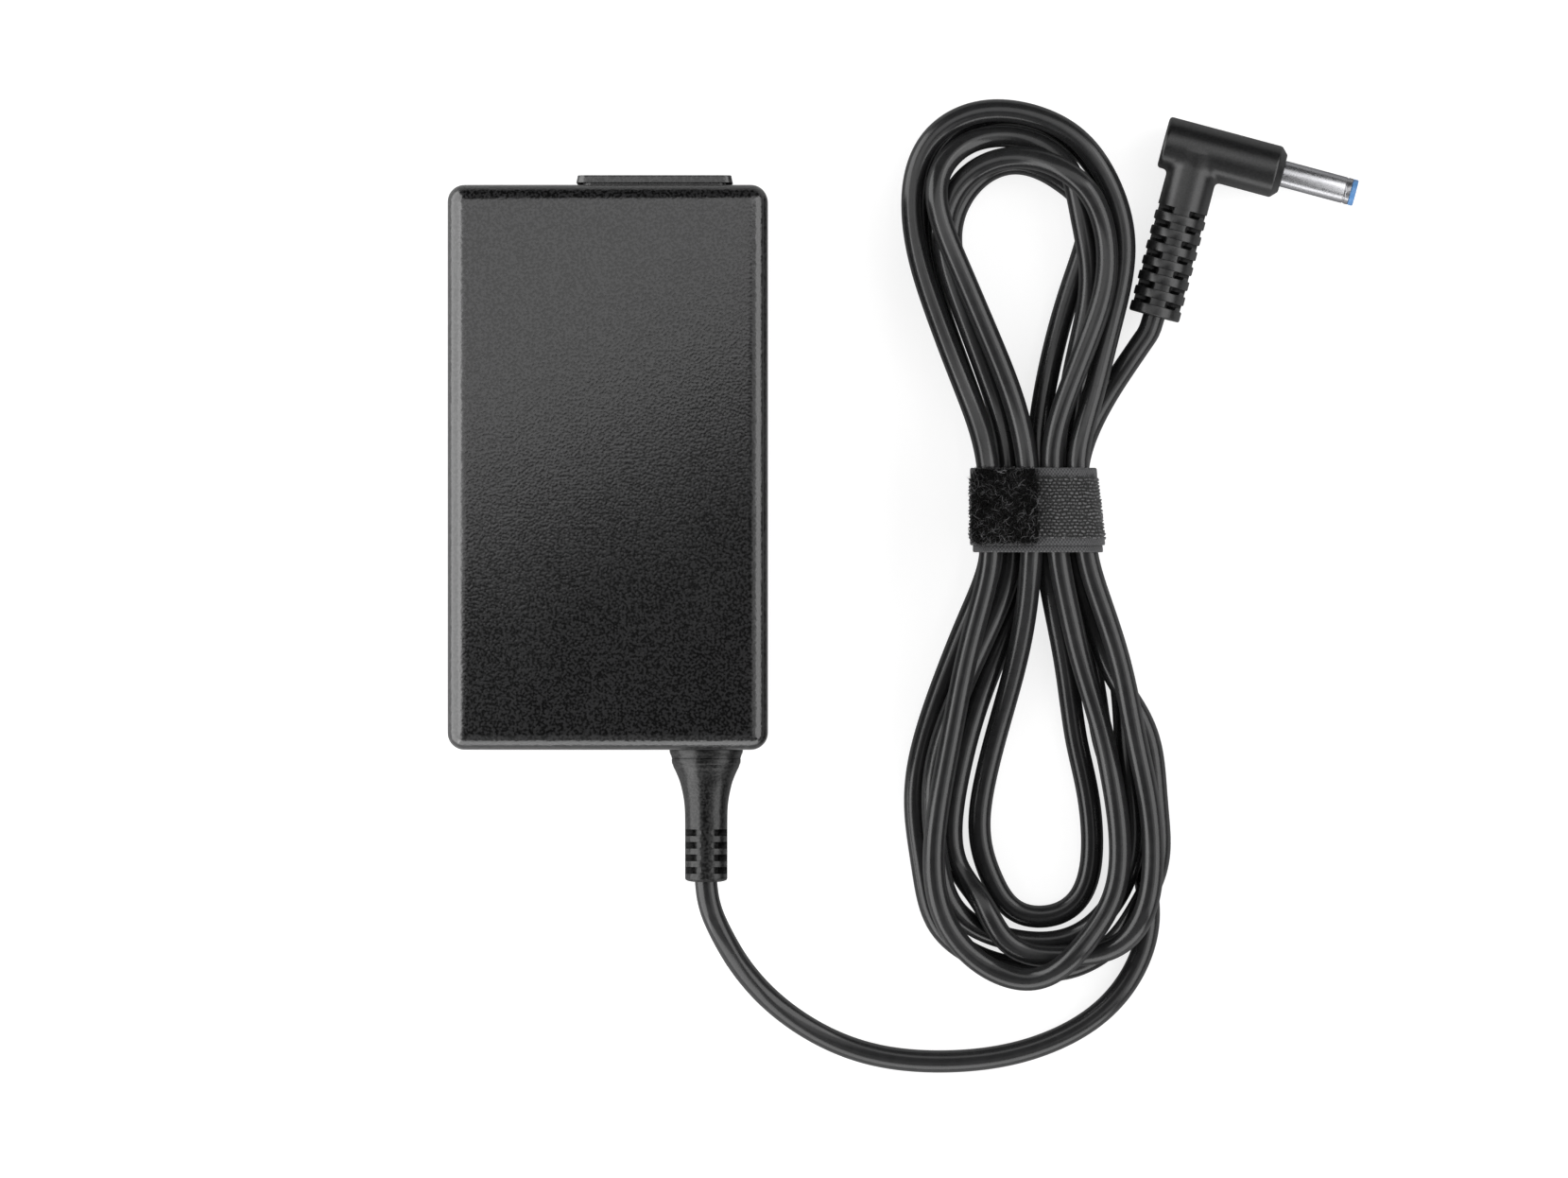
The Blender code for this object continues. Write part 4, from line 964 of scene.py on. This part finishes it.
# %% Slide points to the surface
def slid(p, rounds=4, reach=0.02, steepest=0.2, longest=0.3):
    """Slide points along the distance's slope, until it is zero where they lie."""
    for _ in range(rounds):
        slope = np.stack([plug_distance(p + reach * way) - plug_distance(p - reach * way)
                          for way in np.eye(3)], axis=1) / (2 * reach)
        size = np.maximum((slope ** 2).sum(axis=1), steepest)
        p = p - np.clip(plug_distance(p) / size, -longest, longest)[:, None] * slope
    return p


def move_points(mesh, change):
    """Send a mesh's points, as an array in millimetres, through a function."""
    p = np.empty(3 * len(mesh.vertices), np.float32)
    mesh.vertices.foreach_get("co", p)
    p = change(p.reshape(-1, 3).astype(float) / MM)
    mesh.vertices.foreach_set("co", (p * MM).astype(np.float32).ravel())


# %% Mould the elbow
def turned_x(profile, sides=56, closed=False):
    """Revolve (along, radius) pairs about the X axis."""
    rings = [[(along, u, v) for u, v in circle(radius, sides)] for along, radius in profile]
    return loft(rings, closed)


def to_plug(piece):
    """Move a piece drawn about the plug's own axes to where the plug lies."""
    piece.data.transform(Matrix.Translation(PLUG_AT * MM) @ Matrix.Rotation(PLUG_TURN, 4, "Z"))
    return piece


elbow = finished("elbow", turned_x(BODY_PROFILE[1:-1]), plug_rubber)
cut(elbow, turned(NECK_PROFILE[1:-1]), "UNION")
voxels = elbow.modifiers.new("voxels", "REMESH")
voxels.mode, voxels.voxel_size = "VOXEL", VOXEL * MM
elbow.data = evaluated_mesh(elbow)
elbow.modifiers.clear()
move_points(elbow.data, slid)
cut(elbow, turned([(NECK_START - 2.0, 6.0), (NECK_START, 6.0)]))
print("elbow: %d faces" % len(elbow.data.polygons))

# %% [markdown]
# The neck has seven crisp ribs, which are turned and joined to the elbow. In every groove between
# them, pockets are sunk beside the spine on top and underneath, and a narrow slit runs on from each
# towards the side.

# %% Turn the ribs
RIB_ROUND = ((0.0, 0.14), (0.08, 0.04), (0.25, 0.0))    # a rib's edge: (along, drop)
END_ROUND = ((0.0, 0.26), (0.08, 0.11), (0.25, 0.0))    # the neck's end


def rib_profile():
    """From the bottom of the cord's bore, round the end and along the ribs, into the elbow."""
    profile = [(-NECK_LENGTH + 2.0, BORE), (-NECK_LENGTH, BORE)]
    start, edge = -NECK_LENGTH, END_ROUND
    for rib in range(RIBS, 0, -1):
        low = FIRST_GROOVE - RIB_PITCH * (rib - 1)
        profile += [(start + along, RIB_R - drop) for along, drop in edge]
        profile += [(low - along, RIB_R - drop) for along, drop in reversed(RIB_ROUND)]
        profile += [(low, GROOVE_R), (low + GROOVE, GROOVE_R)]
        start, edge = low + GROOVE, RIB_ROUND
    return profile + [(start + 1.0, GROOVE_R)]


cut(elbow, turned(rib_profile(), sides=96), "UNION")
print("ribs: %d on a neck %.0f mm long" % (RIBS, NECK_LENGTH))

# %% Pocket the neck
SPINE_HALF = 1.25
NECK_CORE = 2.2                 # the radius that the pockets go down to
LEDGE = 0.5                     # the part of a groove that stays under the narrow slit
NECK_END = ((0.0, 0.25), (1.0, 0.42), (3.0, 0.49))

neck_slices = round_start(SPINE_HALF, GROOVE_R, NECK_CORE, GROOVE, NECK_END)
neck_slices += [(angle, NECK_CORE, 0.0, GROOVE) for angle in (26, 34, 42, 49)]
neck_slices += [(angle, NECK_CORE, LEDGE, GROOVE) for angle in (53, 60, 68, 76, 84)]
neck_bm = four_ways(neck_slices)
bmesh.ops.translate(neck_bm, vec=(0, FIRST_GROOVE, 0), verts=neck_bm.verts)
plug_mould = to_plug(pocketed("plug_mould", elbow, neck_bm, RIBS, -RIB_PITCH, plug_rubber))
dress(plug_mould, "plug_housing")

# %% [markdown]
# ## The barrel
# The barrel is drawn tube, plated, with a rolled groove near its end. Beyond its end the blue
# insulator stands out as a ring, and inside is the thin centre pin. The tube and the insulator
# are turned from closed profiles, so their walls have a thickness.

# %% Barrel, insulator and centre pin
BARREL_LENGTH, BARREL_R = 12.5, 2.25
SLEEVE_R, CAVITY_R, CENTRE_R = 1.65, 1.5, 0.35

plug_metal = metal("plug_metal", (0.44, 0.44, 0.455), 0.30, 0.0002)
plug_blue, tree, shader = new_material("plug_blue", (0.085, 0.23, 0.48), 0.38)
two_tone(tree, shader, between(tree, noise(tree, 0.0007), 0, 1),
         (0.07, 0.20, 0.43), (0.10, 0.26, 0.53))
shader.inputs["Subsurface Weight"].default_value = 0.1
shader.inputs["Subsurface Radius"].default_value = (0.0002, 0.0003, 0.0005)

start = PLUG_FRONT + 0.05
tip = PLUG_FRONT + GAP + BARREL_LENGTH
barrel = [(start, BARREL_R)]
barrel += [(tip - back, BARREL_R - drop) for back, drop in
           ((2.05, 0), (1.98, 0.03), (1.93, 0.1), (1.72, 0.1), (1.67, 0.03), (1.6, 0), (0.98, 0),
            (0.9, 0.08), (0.9, 0.3))]
barrel += [(start, BARREL_R - 0.3)]
sleeve = [(start, SLEEVE_R), (tip - 0.88, SLEEVE_R)]
sleeve += [(tip - back, BARREL_R - drop) for back, drop in
           ((0.88, 0.06), (0.8, 0), (0.2, 0), (0.06, 0.06), (0, 0.2))]
sleeve += [(tip, CAVITY_R + 0.08), (tip - 0.08, CAVITY_R), (start + 0.8, CAVITY_R),
           (start + 0.8, 0.7), (start, 0.7)]
centre = [(start, CENTRE_R), (tip - 1.3, CENTRE_R), (tip - 1.0, 0.27), (tip - 0.9, 0.12)]


def plug_piece(name, profile, material, node, closed=True):
    piece = finished(name, turned_x(profile, 64, closed), material)
    return dress(to_plug(piece), node)


plug_sleeve = plug_piece("plug_sleeve", barrel, plug_metal, "plug_barrel")
plug_ring = plug_piece("plug_ring", sleeve, plug_blue, "plug_liner")
plug_contact = plug_piece("plug_contact", centre, plug_metal, "plug_centre_pin",
                          closed=False)
print("barrel: %.1f mm wide, %.1f mm long" % (2 * BARREL_R, tip - start))

# %% [markdown]
# ## The tie
# The tie is hook tape in two wraps: the inner one peeps out below the outer one. Tape is woven, so
# its material draws a weave from the tape's own UV map, with painted shade between the threads and
# plain selvedges along both edges.
# Cloth simulation could wrap it, but stiff tape that is pulled tight lies as a plain closed band.

# %% Woven tape
WEAVE = 0.00028                 # metres from one thread to the next
SELVEDGE_WIDTH = 1.35
FRAY, FRAY_SIZE = 1.6, 0.0007   # how far the hooks' border wanders, and over how many metres
BORDER = 0.25                   # half the width over which the border fades


def woven(name, colour, ground, roughness):
    """A weave with painted shade between its threads: colour on the selvedges, the darker ground
    where the hooks stand.
    """
    made, tree, shader = new_material(name, colour, roughness, specular=0.25)
    place = add_node(tree, "ShaderNodeUVMap", uv_map="UVMap")
    apart = add_node(tree, "ShaderNodeSeparateXYZ", {0: place.outputs[0]})
    waves = []
    for axis, stretch in (("X", 1.0), ("Y", 0.8)):
        phase = calculate(tree, "MULTIPLY", apart.outputs[axis], math.pi * stretch / WEAVE)
        waves.append(calculate(tree, "SINE", phase))
    over = calculate(tree, "MULTIPLY", waves[0], waves[1])
    fuzz = noise(tree, 0.0004, 3.0)
    height = calculate(tree, "ADD", over, calculate(tree, "MULTIPLY", fuzz, 0.8))
    off_middle = calculate(tree, "SUBTRACT", noise(tree, FRAY_SIZE, 2.0), 0.5)
    fray = calculate(tree, "MULTIPLY", off_middle, FRAY * MM)
    frayed = calculate(tree, "ADD", apart.outputs["Y"], fray)
    shares = []
    for edge, low, high in ((SELVEDGE_WIDTH, 0, 1), (TAPE_WIDTH - SELVEDGE_WIDTH, 1, 0)):
        shares.append(between(tree, frayed, low, high, (edge - BORDER) * MM, (edge + BORDER) * MM))
    plain = mix(tree, calculate(tree, "MULTIPLY", shares[0], shares[1]), colour, ground)
    # Each thread's colour follows its height: painted shade darkens the low threads and a painted
    # highlight lightens the high ones.
    thread_painted_shade = between(tree, height, 0.35, 1.6, -0.6, 1.4)
    tint = add_node(tree, "ShaderNodeVectorMath", {0: plain, "Scale": thread_painted_shade},
                    operation="SCALE")
    tree.links.new(tint.outputs[0], shader.inputs["Base Color"])
    emboss(tree, shader, height, 0.8, 0.00005)
    shader.inputs["Sheen Weight"].default_value = 0.15
    shader.inputs["Sheen Roughness"].default_value = 0.5
    return made


tape_weave = woven("tape_weave", (0.062, 0.062, 0.064), (0.018, 0.018, 0.018), 0.75)
print("tape: a weave of %.2f mm" % (WEAVE / MM))

# %% Two wraps of tape
WRAP_STEPS = 16                 # points in each rounded corner of the wrap
WRAP_SPACING = 0.5              # between two points of its straight stretches
WEAVE_ROUND = 78.0              # the length of weave that the UV map lays round the tie
OUTER_LOW = TIE[1] - TAPE_WIDTH / 2 + WRAP_SHIFT / 2
OUTER_HIGH = TIE[1] + TAPE_WIDTH / 2 + WRAP_SHIFT / 2
# From the tape's edge inwards: a distance, and a height as a share of the tape's thickness.
FLAT_FROM, FLAT_HEIGHT, FLAT_STEPS = 1.6, 0.85, 12
SELVEDGE = ((0.25, 0.0), (0.06, 0.17), (0.0, 0.5), (0.06, 0.83), (0.3, 1.0), (1.2, 0.97),
            (1.3, 0.85), (FLAT_FROM, FLAT_HEIGHT))


def wrap_outline(offset):
    """The tape's path round the tied cords, in the XZ plane, at this distance from them."""
    corner = CORD_R + GAP + offset
    outline = rounded(COLUMNS[-1] + CORD_R + GAP + offset, ROW_RISE + CORD_R + GAP + offset, corner,
                      WRAP_STEPS)
    path = []
    for a, b in zip(outline, outline[1:] + outline[:1]):
        count = max(1, round(math.dist(a, b) / WRAP_SPACING))
        for i in range(count):
            u, v = (a[k] + (b[k] - a[k]) * i / count for k in (0, 1))
            path.append((TIE[0] + u, ROW_Z + ROW_RISE + v))
    return path


def tape_wrap(name, low, high, base):
    """One wrap: a thin closed band whose edges are rounded like a selvedge."""
    edge = [(low + y, TAPE * t) for y, t in SELVEDGE]
    flat_width = high - low - 2 * FLAT_FROM
    section = edge + [(low + FLAT_FROM + flat_width * i / FLAT_STEPS, FLAT_HEIGHT * TAPE)
                      for i in range(1, FLAT_STEPS)]
    section += [(low + high - y, t) for y, t in reversed(edge)]
    bm = bmesh.new()
    across = bm.loops.layers.uv.new("UVMap")
    rows = []
    for y, t in section:
        rows.append([bm.verts.new((lean(x, y), y, z)) for x, z in wrap_outline(base + t)])
    count = len(rows[0])
    step = MM * WEAVE_ROUND / count
    for k in range(len(rows)):
        for i in range(count):
            j, m = (i + 1) % count, (k + 1) % len(rows)
            made = bm.faces.new((rows[k][i], rows[k][j], rows[m][j], rows[m][i]))
            for corner, (u, w) in zip(made.loops, ((i, k), (i + 1, k), (i + 1, m), (i, m))):
                corner[across].uv = (u * step, (section[w][0] - low) * MM)
    return finished(name, bm, tape_weave, 60.0)


inner_wrap = tape_wrap("tie_inner_wrap", OUTER_LOW - WRAP_SHIFT, OUTER_HIGH - WRAP_SHIFT, 0.0)
outer_wrap = tape_wrap("tie_outer_wrap", OUTER_LOW, OUTER_HIGH, TAPE)
for wrap in (inner_wrap, outer_wrap):
    dress(wrap, "tie_band")
print("tie: two wraps of %d faces" % len(outer_wrap.data.polygons))

# %% [markdown]
# The hooks are loops of stiff yarn, cut open on one side. Each is a short bent thread with few
# faces, because there are over a thousand. The tree sets a row of them across the tape at every
# point of the wrap's path, shifts each second row by half a step, which gives the staggered
# look, and lets a noise field push them all a little out of line.

# %% A hook
HOOK_BEND = ((-0.24, 0, -0.1), (-0.19, 0, 0.03), (0.0, 0, 0.08), (0.19, 0, 0.03), (0.24, 0, -0.1))
HOOK_R = 0.15
THREAD_CREASE = 80.0            # degrees


def thread(points, radius, sides=3):
    """A thin bent thread with a tapering end, as a bmesh in millimetres."""
    points = [Vector(p) for p in points]
    rings = []
    for i, point in enumerate(points):
        way = (points[min(i + 1, len(points) - 1)] - points[max(i - 1, 0)]).normalized()
        side = way.cross(Vector((0, 1, 0.01))).normalized()
        up = side.cross(way)
        fade = 1.0 if i < len(points) - 1 else 0.5
        rings.append([point + radius * fade * (side * u + up * v) for u, v in circle(1.0, sides)])
    return loft(rings)


hook_yarn, tree, shader = new_material("hook_yarn", (0.09, 0.09, 0.092), 0.6, specular=0.3)
two_tone(tree, shader, between(tree, noise(tree, 0.0005), 0, 1, 0.35, 0.65),
         (0.035, 0.035, 0.035), (0.15, 0.15, 0.153))
hook = finished("hook", thread(HOOK_BEND, HOOK_R, 5), hook_yarn, THREAD_CREASE)
print("hook: %d faces" % len(hook.data.polygons))

# %% Rows of hooks
HOOK_PITCH = 1.16
ALONG_SHARE, WANDER_SHARE = 0.36, 0.6   # of the pitch: from row to row, and out of line
HOOK_HEIGHT = 1.85 * TAPE               # of the rows' path, from the inner wrap's underside
HOOK_FIELD = (OUTER_LOW + SELVEDGE_WIDTH - 0.1, OUTER_HIGH - SELVEDGE_WIDTH + 0.1)


def hook_tree(material):
    tree, size = new_tree("hook_rows", {"Hook": None, "Along": 0.0006, "Across": 0.0006,
                                        "Rows": 20, "Wander": 0.0004})
    path = add_node(tree, "GeometryNodeCurveToPoints",
                    {"Curve": size["Geometry"], "Length": size["Along"]}, mode="LENGTH")
    row = row_of(tree, size["Hook"], size["Rows"], size["Across"])
    out = add_node(tree, "ShaderNodeVectorMath", {0: (0, 1, 0), 1: path.outputs["Tangent"]},
                   operation="CROSS_PRODUCT")
    outward = add_node(tree, "FunctionNodeAxesToRotation",
                       {"Primary Axis": out.outputs[0], "Secondary Axis": (0, 1, 0)},
                       primary_axis="Z", secondary_axis="Y")
    order = add_node(tree, "GeometryNodeInputIndex")
    odd = calculate(tree, "MODULO", order.outputs[0], 2.0)
    half = calculate(tree, "MULTIPLY", size["Across"], 0.5)
    stagger = add_node(tree, "ShaderNodeCombineXYZ", {"Y": calculate(tree, "MULTIPLY", odd, half)})
    moved = add_node(tree, "GeometryNodeSetPosition",
                     {"Geometry": path.outputs["Points"], "Offset": stagger.outputs[0]})
    laid = add_node(tree, "GeometryNodeInstanceOnPoints",
                    {"Points": moved.outputs[0], "Instance": row, "Rotation": outward.outputs[0]})
    real = add_node(tree, "GeometryNodeRealizeInstances", {0: laid.outputs[0]})
    field = add_node(tree, "ShaderNodeTexNoise", {"Scale": 700.0, "Detail": 1.0})
    centred = add_node(tree, "ShaderNodeVectorMath",
                       {0: field.outputs["Color"], 1: (0.5, 0.5, 0.5)}, operation="SUBTRACT")
    shift = add_node(tree, "ShaderNodeVectorMath", {0: centred.outputs[0], "Scale": size["Wander"]},
                     operation="SCALE")
    uneven = add_node(tree, "GeometryNodeSetPosition",
                      {"Geometry": real.outputs[0], "Offset": shift.outputs[0]})
    end_tree(tree, uneven.outputs[0], material)
    return tree


def leaning(p):
    """Move a straight piece's points to the leaning tie, and press flat what the table flattens."""
    x = lean(p[:, 0], p[:, 1])
    return np.stack((x, p[:, 1], np.maximum(p[:, 2], 0.0)), axis=1)


rows = int((HOOK_FIELD[1] - HOOK_FIELD[0]) / HOOK_PITCH)
hook_line = MM * np.array([(x, HOOK_FIELD[0], z) for x, z in wrap_outline(HOOK_HEIGHT)])
hooks = grown("tie_hooks", line_through("hook_path", hook_line, closed=True), hook_tree(hook_yarn),
              {"Hook": hook, "Along": HOOK_PITCH * ALONG_SHARE * MM, "Across": HOOK_PITCH * MM,
               "Rows": rows, "Wander": WANDER_SHARE * HOOK_PITCH * MM})
bpy.data.objects.remove(hook)
move_points(hooks.data, leaning)
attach(hooks, "adapter")

# %% [markdown]
# ## The loop-pile end
# The soft end of the tie lies on the hooks and peels up about its right edge. It is a felted pad,
# and thousands of fine curled fibres grow from it. Bump alone would look flat from the side, so
# the fibres are real, and a tree scatters them with a fixed seed.

# %% The pad
PAD_THICK, PAD_LENGTH = 0.9, 11.2
PAD_AXIS = (72.7, ROW_Z + 2 * ROW_RISE + CORD_R + GAP + 2 * TAPE + GAP + PAD_THICK / 2)
PAD_LEFT = PAD_AXIS[0] - PAD_LENGTH
PAD_LOW, PAD_HIGH = OUTER_LOW + 0.35, OUTER_HIGH - 0.2
PAD_CORNER = 1.1
PAD_STEP = 0.28                 # between two points of its grid
PAD_EDGE = 0.5                  # the width over which it thins to its edge
DROOP, DROOP_LENGTH = 0.35, 3.0
LUMP, RAGGED = 0.07, 0.35       # the most that a point stands proud, and that the end wanders
NEAR_HINGE = 0.97


def pad_point(s, t, side, rough):
    """A point of the soft slab: s runs from the free end to the hinge, t across the tape."""
    from_end = s * PAD_LENGTH
    inset = PAD_CORNER - math.sqrt(PAD_CORNER ** 2 - max(0.0, PAD_CORNER - from_end) ** 2)
    width = PAD_HIGH - PAD_LOW - 2 * inset
    border = min(from_end, t * width, (1 - t) * width, PAD_EDGE)
    half = 0.9 * PAD_THICK / 2 * math.sqrt(1 - (1 - border / PAD_EDGE) ** 2)
    droop = DROOP * max(0.0, 1 - from_end / DROOP_LENGTH) ** 2
    lump = LUMP * rough if side > 0 and border > 0.1 and s < NEAR_HINGE else 0.0
    ragged_end = RAGGED * (rough - 0.7) if s > NEAR_HINGE else 0.0
    return (PAD_LEFT + from_end + ragged_end, PAD_LOW + inset + width * t,
            PAD_AXIS[1] - droop + side * half + lump)


def pad_bm():
    """The slab: a grid on top and one below, joined round their rims."""
    count_x, count_y = round(PAD_LENGTH / PAD_STEP), round((PAD_HIGH - PAD_LOW) / PAD_STEP)
    rough = np.random.default_rng(7).random((count_x + 1, count_y + 1))
    bm = bmesh.new()
    layers = []
    for side in (1, -1):
        layers.append([[bm.verts.new(pad_point(i / count_x, k / count_y, side, rough[i, k]))
                        for k in range(count_y + 1)] for i in range(count_x + 1)])
    top, low = layers
    for grid in layers:
        for i in range(count_x):
            for k in range(count_y):
                corners = (grid[i][k], grid[i + 1][k], grid[i + 1][k + 1], grid[i][k + 1])
                bm.faces.new(corners if grid is top else corners[::-1])
    for k in range(count_y):
        bm.faces.new((top[-1][k], low[-1][k], low[-1][k + 1], top[-1][k + 1]))
    bmesh.ops.remove_doubles(bm, verts=bm.verts, dist=0.002)
    return bm


# %% Felt
def felt(name, dark, light):
    made, tree, shader = new_material(name, dark, 0.95, specular=0.1)
    tangle = noise(tree, 0.0004, 5.0)
    two_tone(tree, shader, between(tree, tangle, 0, 1, 0.42, 0.68), dark, light)
    emboss(tree, shader, tangle, 1.0, 0.0003)
    return made


pile_felt = felt("pile_felt", (0.0008, 0.0008, 0.0008), (0.010, 0.010, 0.0102))
pad = finished("tie_pad", pad_bm(), pile_felt, 60.0)
print("pad: %d faces" % len(pad.data.polygons))

# %% [markdown]
# One curled fibre is drawn, and the tree turns and sizes each copy at random. It also stores a
# random share for each copy, which the material reads as an attribute: most fibres are black, and a
# few are painted light grey, as painted highlights where a fibre would catch the light.

# %% Fibres
FIBRES = 3000                   # about this many; the scattering decides
FIBRE_R = 0.026
TILT = 0.6                      # radians
CURL = ((-0.5, 0.0, -0.05), (-0.42, 0.16, 0.12), (-0.12, 0.26, 0.24), (0.22, 0.14, 0.25),
        (0.5, -0.12, 0.16), (0.52, -0.4, 0.02))


def fibre_tree(material):
    tree, size = new_tree("pile", {"Fibre": None, "Density": 1e7, "Shortest": 0.7, "Longest": 1.6})
    normal = add_node(tree, "GeometryNodeInputNormal")
    split = add_node(tree, "ShaderNodeSeparateXYZ", {0: normal.outputs[0]})
    upward = calculate(tree, "GREATER_THAN", split.outputs["Z"], 0.1)
    spots = add_node(tree, "GeometryNodeDistributePointsOnFaces",
                     {"Mesh": size["Geometry"], "Selection": upward, "Density": size["Density"],
                      "Seed": 11})
    one = add_node(tree, "GeometryNodeObjectInfo", {"Object": size["Fibre"]})
    turn = add_node(tree, "FunctionNodeRandomValue",
                    {0: (-TILT, -TILT, 0.0), 1: (TILT, TILT, 2 * math.pi)},
                    data_type="FLOAT_VECTOR")
    turned_by = add_node(tree, "FunctionNodeEulerToRotation", {0: turn.outputs[0]})
    grow = add_node(tree, "FunctionNodeRandomValue",
                    {2: size["Shortest"], 3: size["Longest"], "Seed": 5}, data_type="FLOAT")
    laid = add_node(tree, "GeometryNodeInstanceOnPoints",
                    {"Points": spots.outputs["Points"], "Instance": one.outputs["Geometry"],
                     "Rotation": turned_by.outputs[0], "Scale": grow.outputs[1]})
    # A random share for each fibre, which the material turns into painted highlights on a few.
    tone = add_node(tree, "FunctionNodeRandomValue", {"Seed": 3}, data_type="FLOAT")
    glinted = add_node(tree, "GeometryNodeStoreNamedAttribute",
                     {"Geometry": laid.outputs[0], "Name": "tone", "Value": tone.outputs[1]},
                     data_type="FLOAT", domain="INSTANCE")
    end_tree(tree, glinted.outputs[0], material)
    return tree


# The fibres with the highest share get a light grey colour: painted highlights.
pile_fibre, tree, shader = new_material("pile_fibre", (0.02, 0.02, 0.021), 0.6, specular=0.15)
fibre_glint = add_node(tree, "ShaderNodeAttribute", attribute_name="tone")
two_tone(tree, shader, between(tree, fibre_glint.outputs["Fac"], 0, 1, 0.8, 1.0),
         (0.002, 0.002, 0.002), (0.19, 0.19, 0.194))
fibre = finished("fibre", thread(CURL, FIBRE_R), pile_fibre, THREAD_CREASE)
area = PAD_LENGTH * (PAD_HIGH - PAD_LOW) * MM * MM
pile = grown("tie_pile", linked("pile_ground", pad.data.copy()), fibre_tree(pile_fibre),
             {"Fibre": fibre, "Density": FIBRES / area})
bpy.data.objects.remove(fibre)
for piece in (pad, pile):
    dress(piece, "tie_tab", "tab")

# %% [markdown]
# ## The cord's ends
# The cord is 1.8 m long from the strain relief to the plug, as the photograph shows it end to end.
# Here the script prints where it leaves the relief.

print("cord leaves the relief at (%.4f, %.4f, %.4f)" % tuple(cord_line[0]))

# %% [markdown]
# ## Inside the case
# Nothing inside shows while the case is shut, but each part still gets the finish of the real one:
# green laminate with tracks, wound copper, sintered ferrite, taped film, plain aluminium. The
# frame's own solids have the right shapes, so they stay and only get these materials.

# %% Finishes for the inner parts
def banded(name, colours, roughness, size, axis, metallic=0.0):
    """Bands of two colours across one axis, such as turns of wire or tracks on a board."""
    made, tree, shader = new_material(name, colours[0], roughness, metallic)
    place = add_node(tree, "ShaderNodeTexCoord")
    apart = add_node(tree, "ShaderNodeSeparateXYZ", {0: place.outputs["Object"]})
    phase = calculate(tree, "MULTIPLY", apart.outputs[axis], 2 * math.pi / size)
    wave = calculate(tree, "SINE", phase)
    two_tone(tree, shader, between(tree, wave, 0, 1, -0.5, 0.5), *colours)
    emboss(tree, shader, wave, 0.6, 0.0001)
    return made


laminate = banded("laminate", ((0.02, 0.12, 0.05), (0.03, 0.18, 0.08)), 0.35, 0.0032, "X")
copper = banded("copper_turns", ((0.62, 0.25, 0.12), (0.30, 0.10, 0.05)), 0.3, 0.0008, "Z", 1.0)
film = moulded("yellow_film", (0.72, 0.47, 0.05), 0.3, 0.004, 0.00003, 0.08)
epoxy = moulded("black_epoxy", (0.012, 0.012, 0.013), 0.5, 0.0005, 0.00003)
ferrite = moulded("ferrite", (0.05, 0.05, 0.052), 0.6, 0.0004, 0.00005, 0.35)
blue_sleeve = moulded("blue_sleeve", (0.035, 0.07, 0.23), 0.28, 0.003, 0.00002, 0.1)
insulation = moulded("white_insulation", (0.68, 0.68, 0.66), 0.45, 0.002, 0.00001, 0.04)
aluminium = metal("plain_aluminium", (0.76, 0.76, 0.77), 0.35, 0.0006, (1, 0.1, 1))
INNER_PARTS = (
    (laminate, "circuit_board"),
    (aluminium, "heat_spreader primary_heat_sink secondary_heat_sink"),
    (epoxy, "controller_chip fuse bridge_rectifier switching_transistor output_rectifier "
            "optocoupler"),
    (film, "x_capacitor transformer_winding"),
    (ferrite, "choke_core transformer_core"),
    (copper, "choke_winding_left choke_winding_right"),
    (blue_sleeve, "bulk_capacitor output_capacitor_left output_capacitor_right safety_capacitor"),
    (insulation, "insulating_sheet line_lead neutral_lead earth_lead positive_lead return_lead"),
)
for finish, names in INNER_PARTS:
    for name in names.split():
        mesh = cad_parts[name].data
        mesh.materials.clear()
        mesh.materials.append(finish)
    print("%s: %s" % (finish.name, names))

# %% [markdown]
# ## Sizes
# The dressed model is meant to keep the frame's size, so the script prints how far each corner of
# its box lies from the frame's.

# %% Print the sizes
low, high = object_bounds()
for corner, a, b in (("low", cad_low, low), ("high", cad_high, high)):
    print("%s corner differs by %s mm" % (corner, [round((y - x) / MM, 2) for x, y in zip(a, b)]))
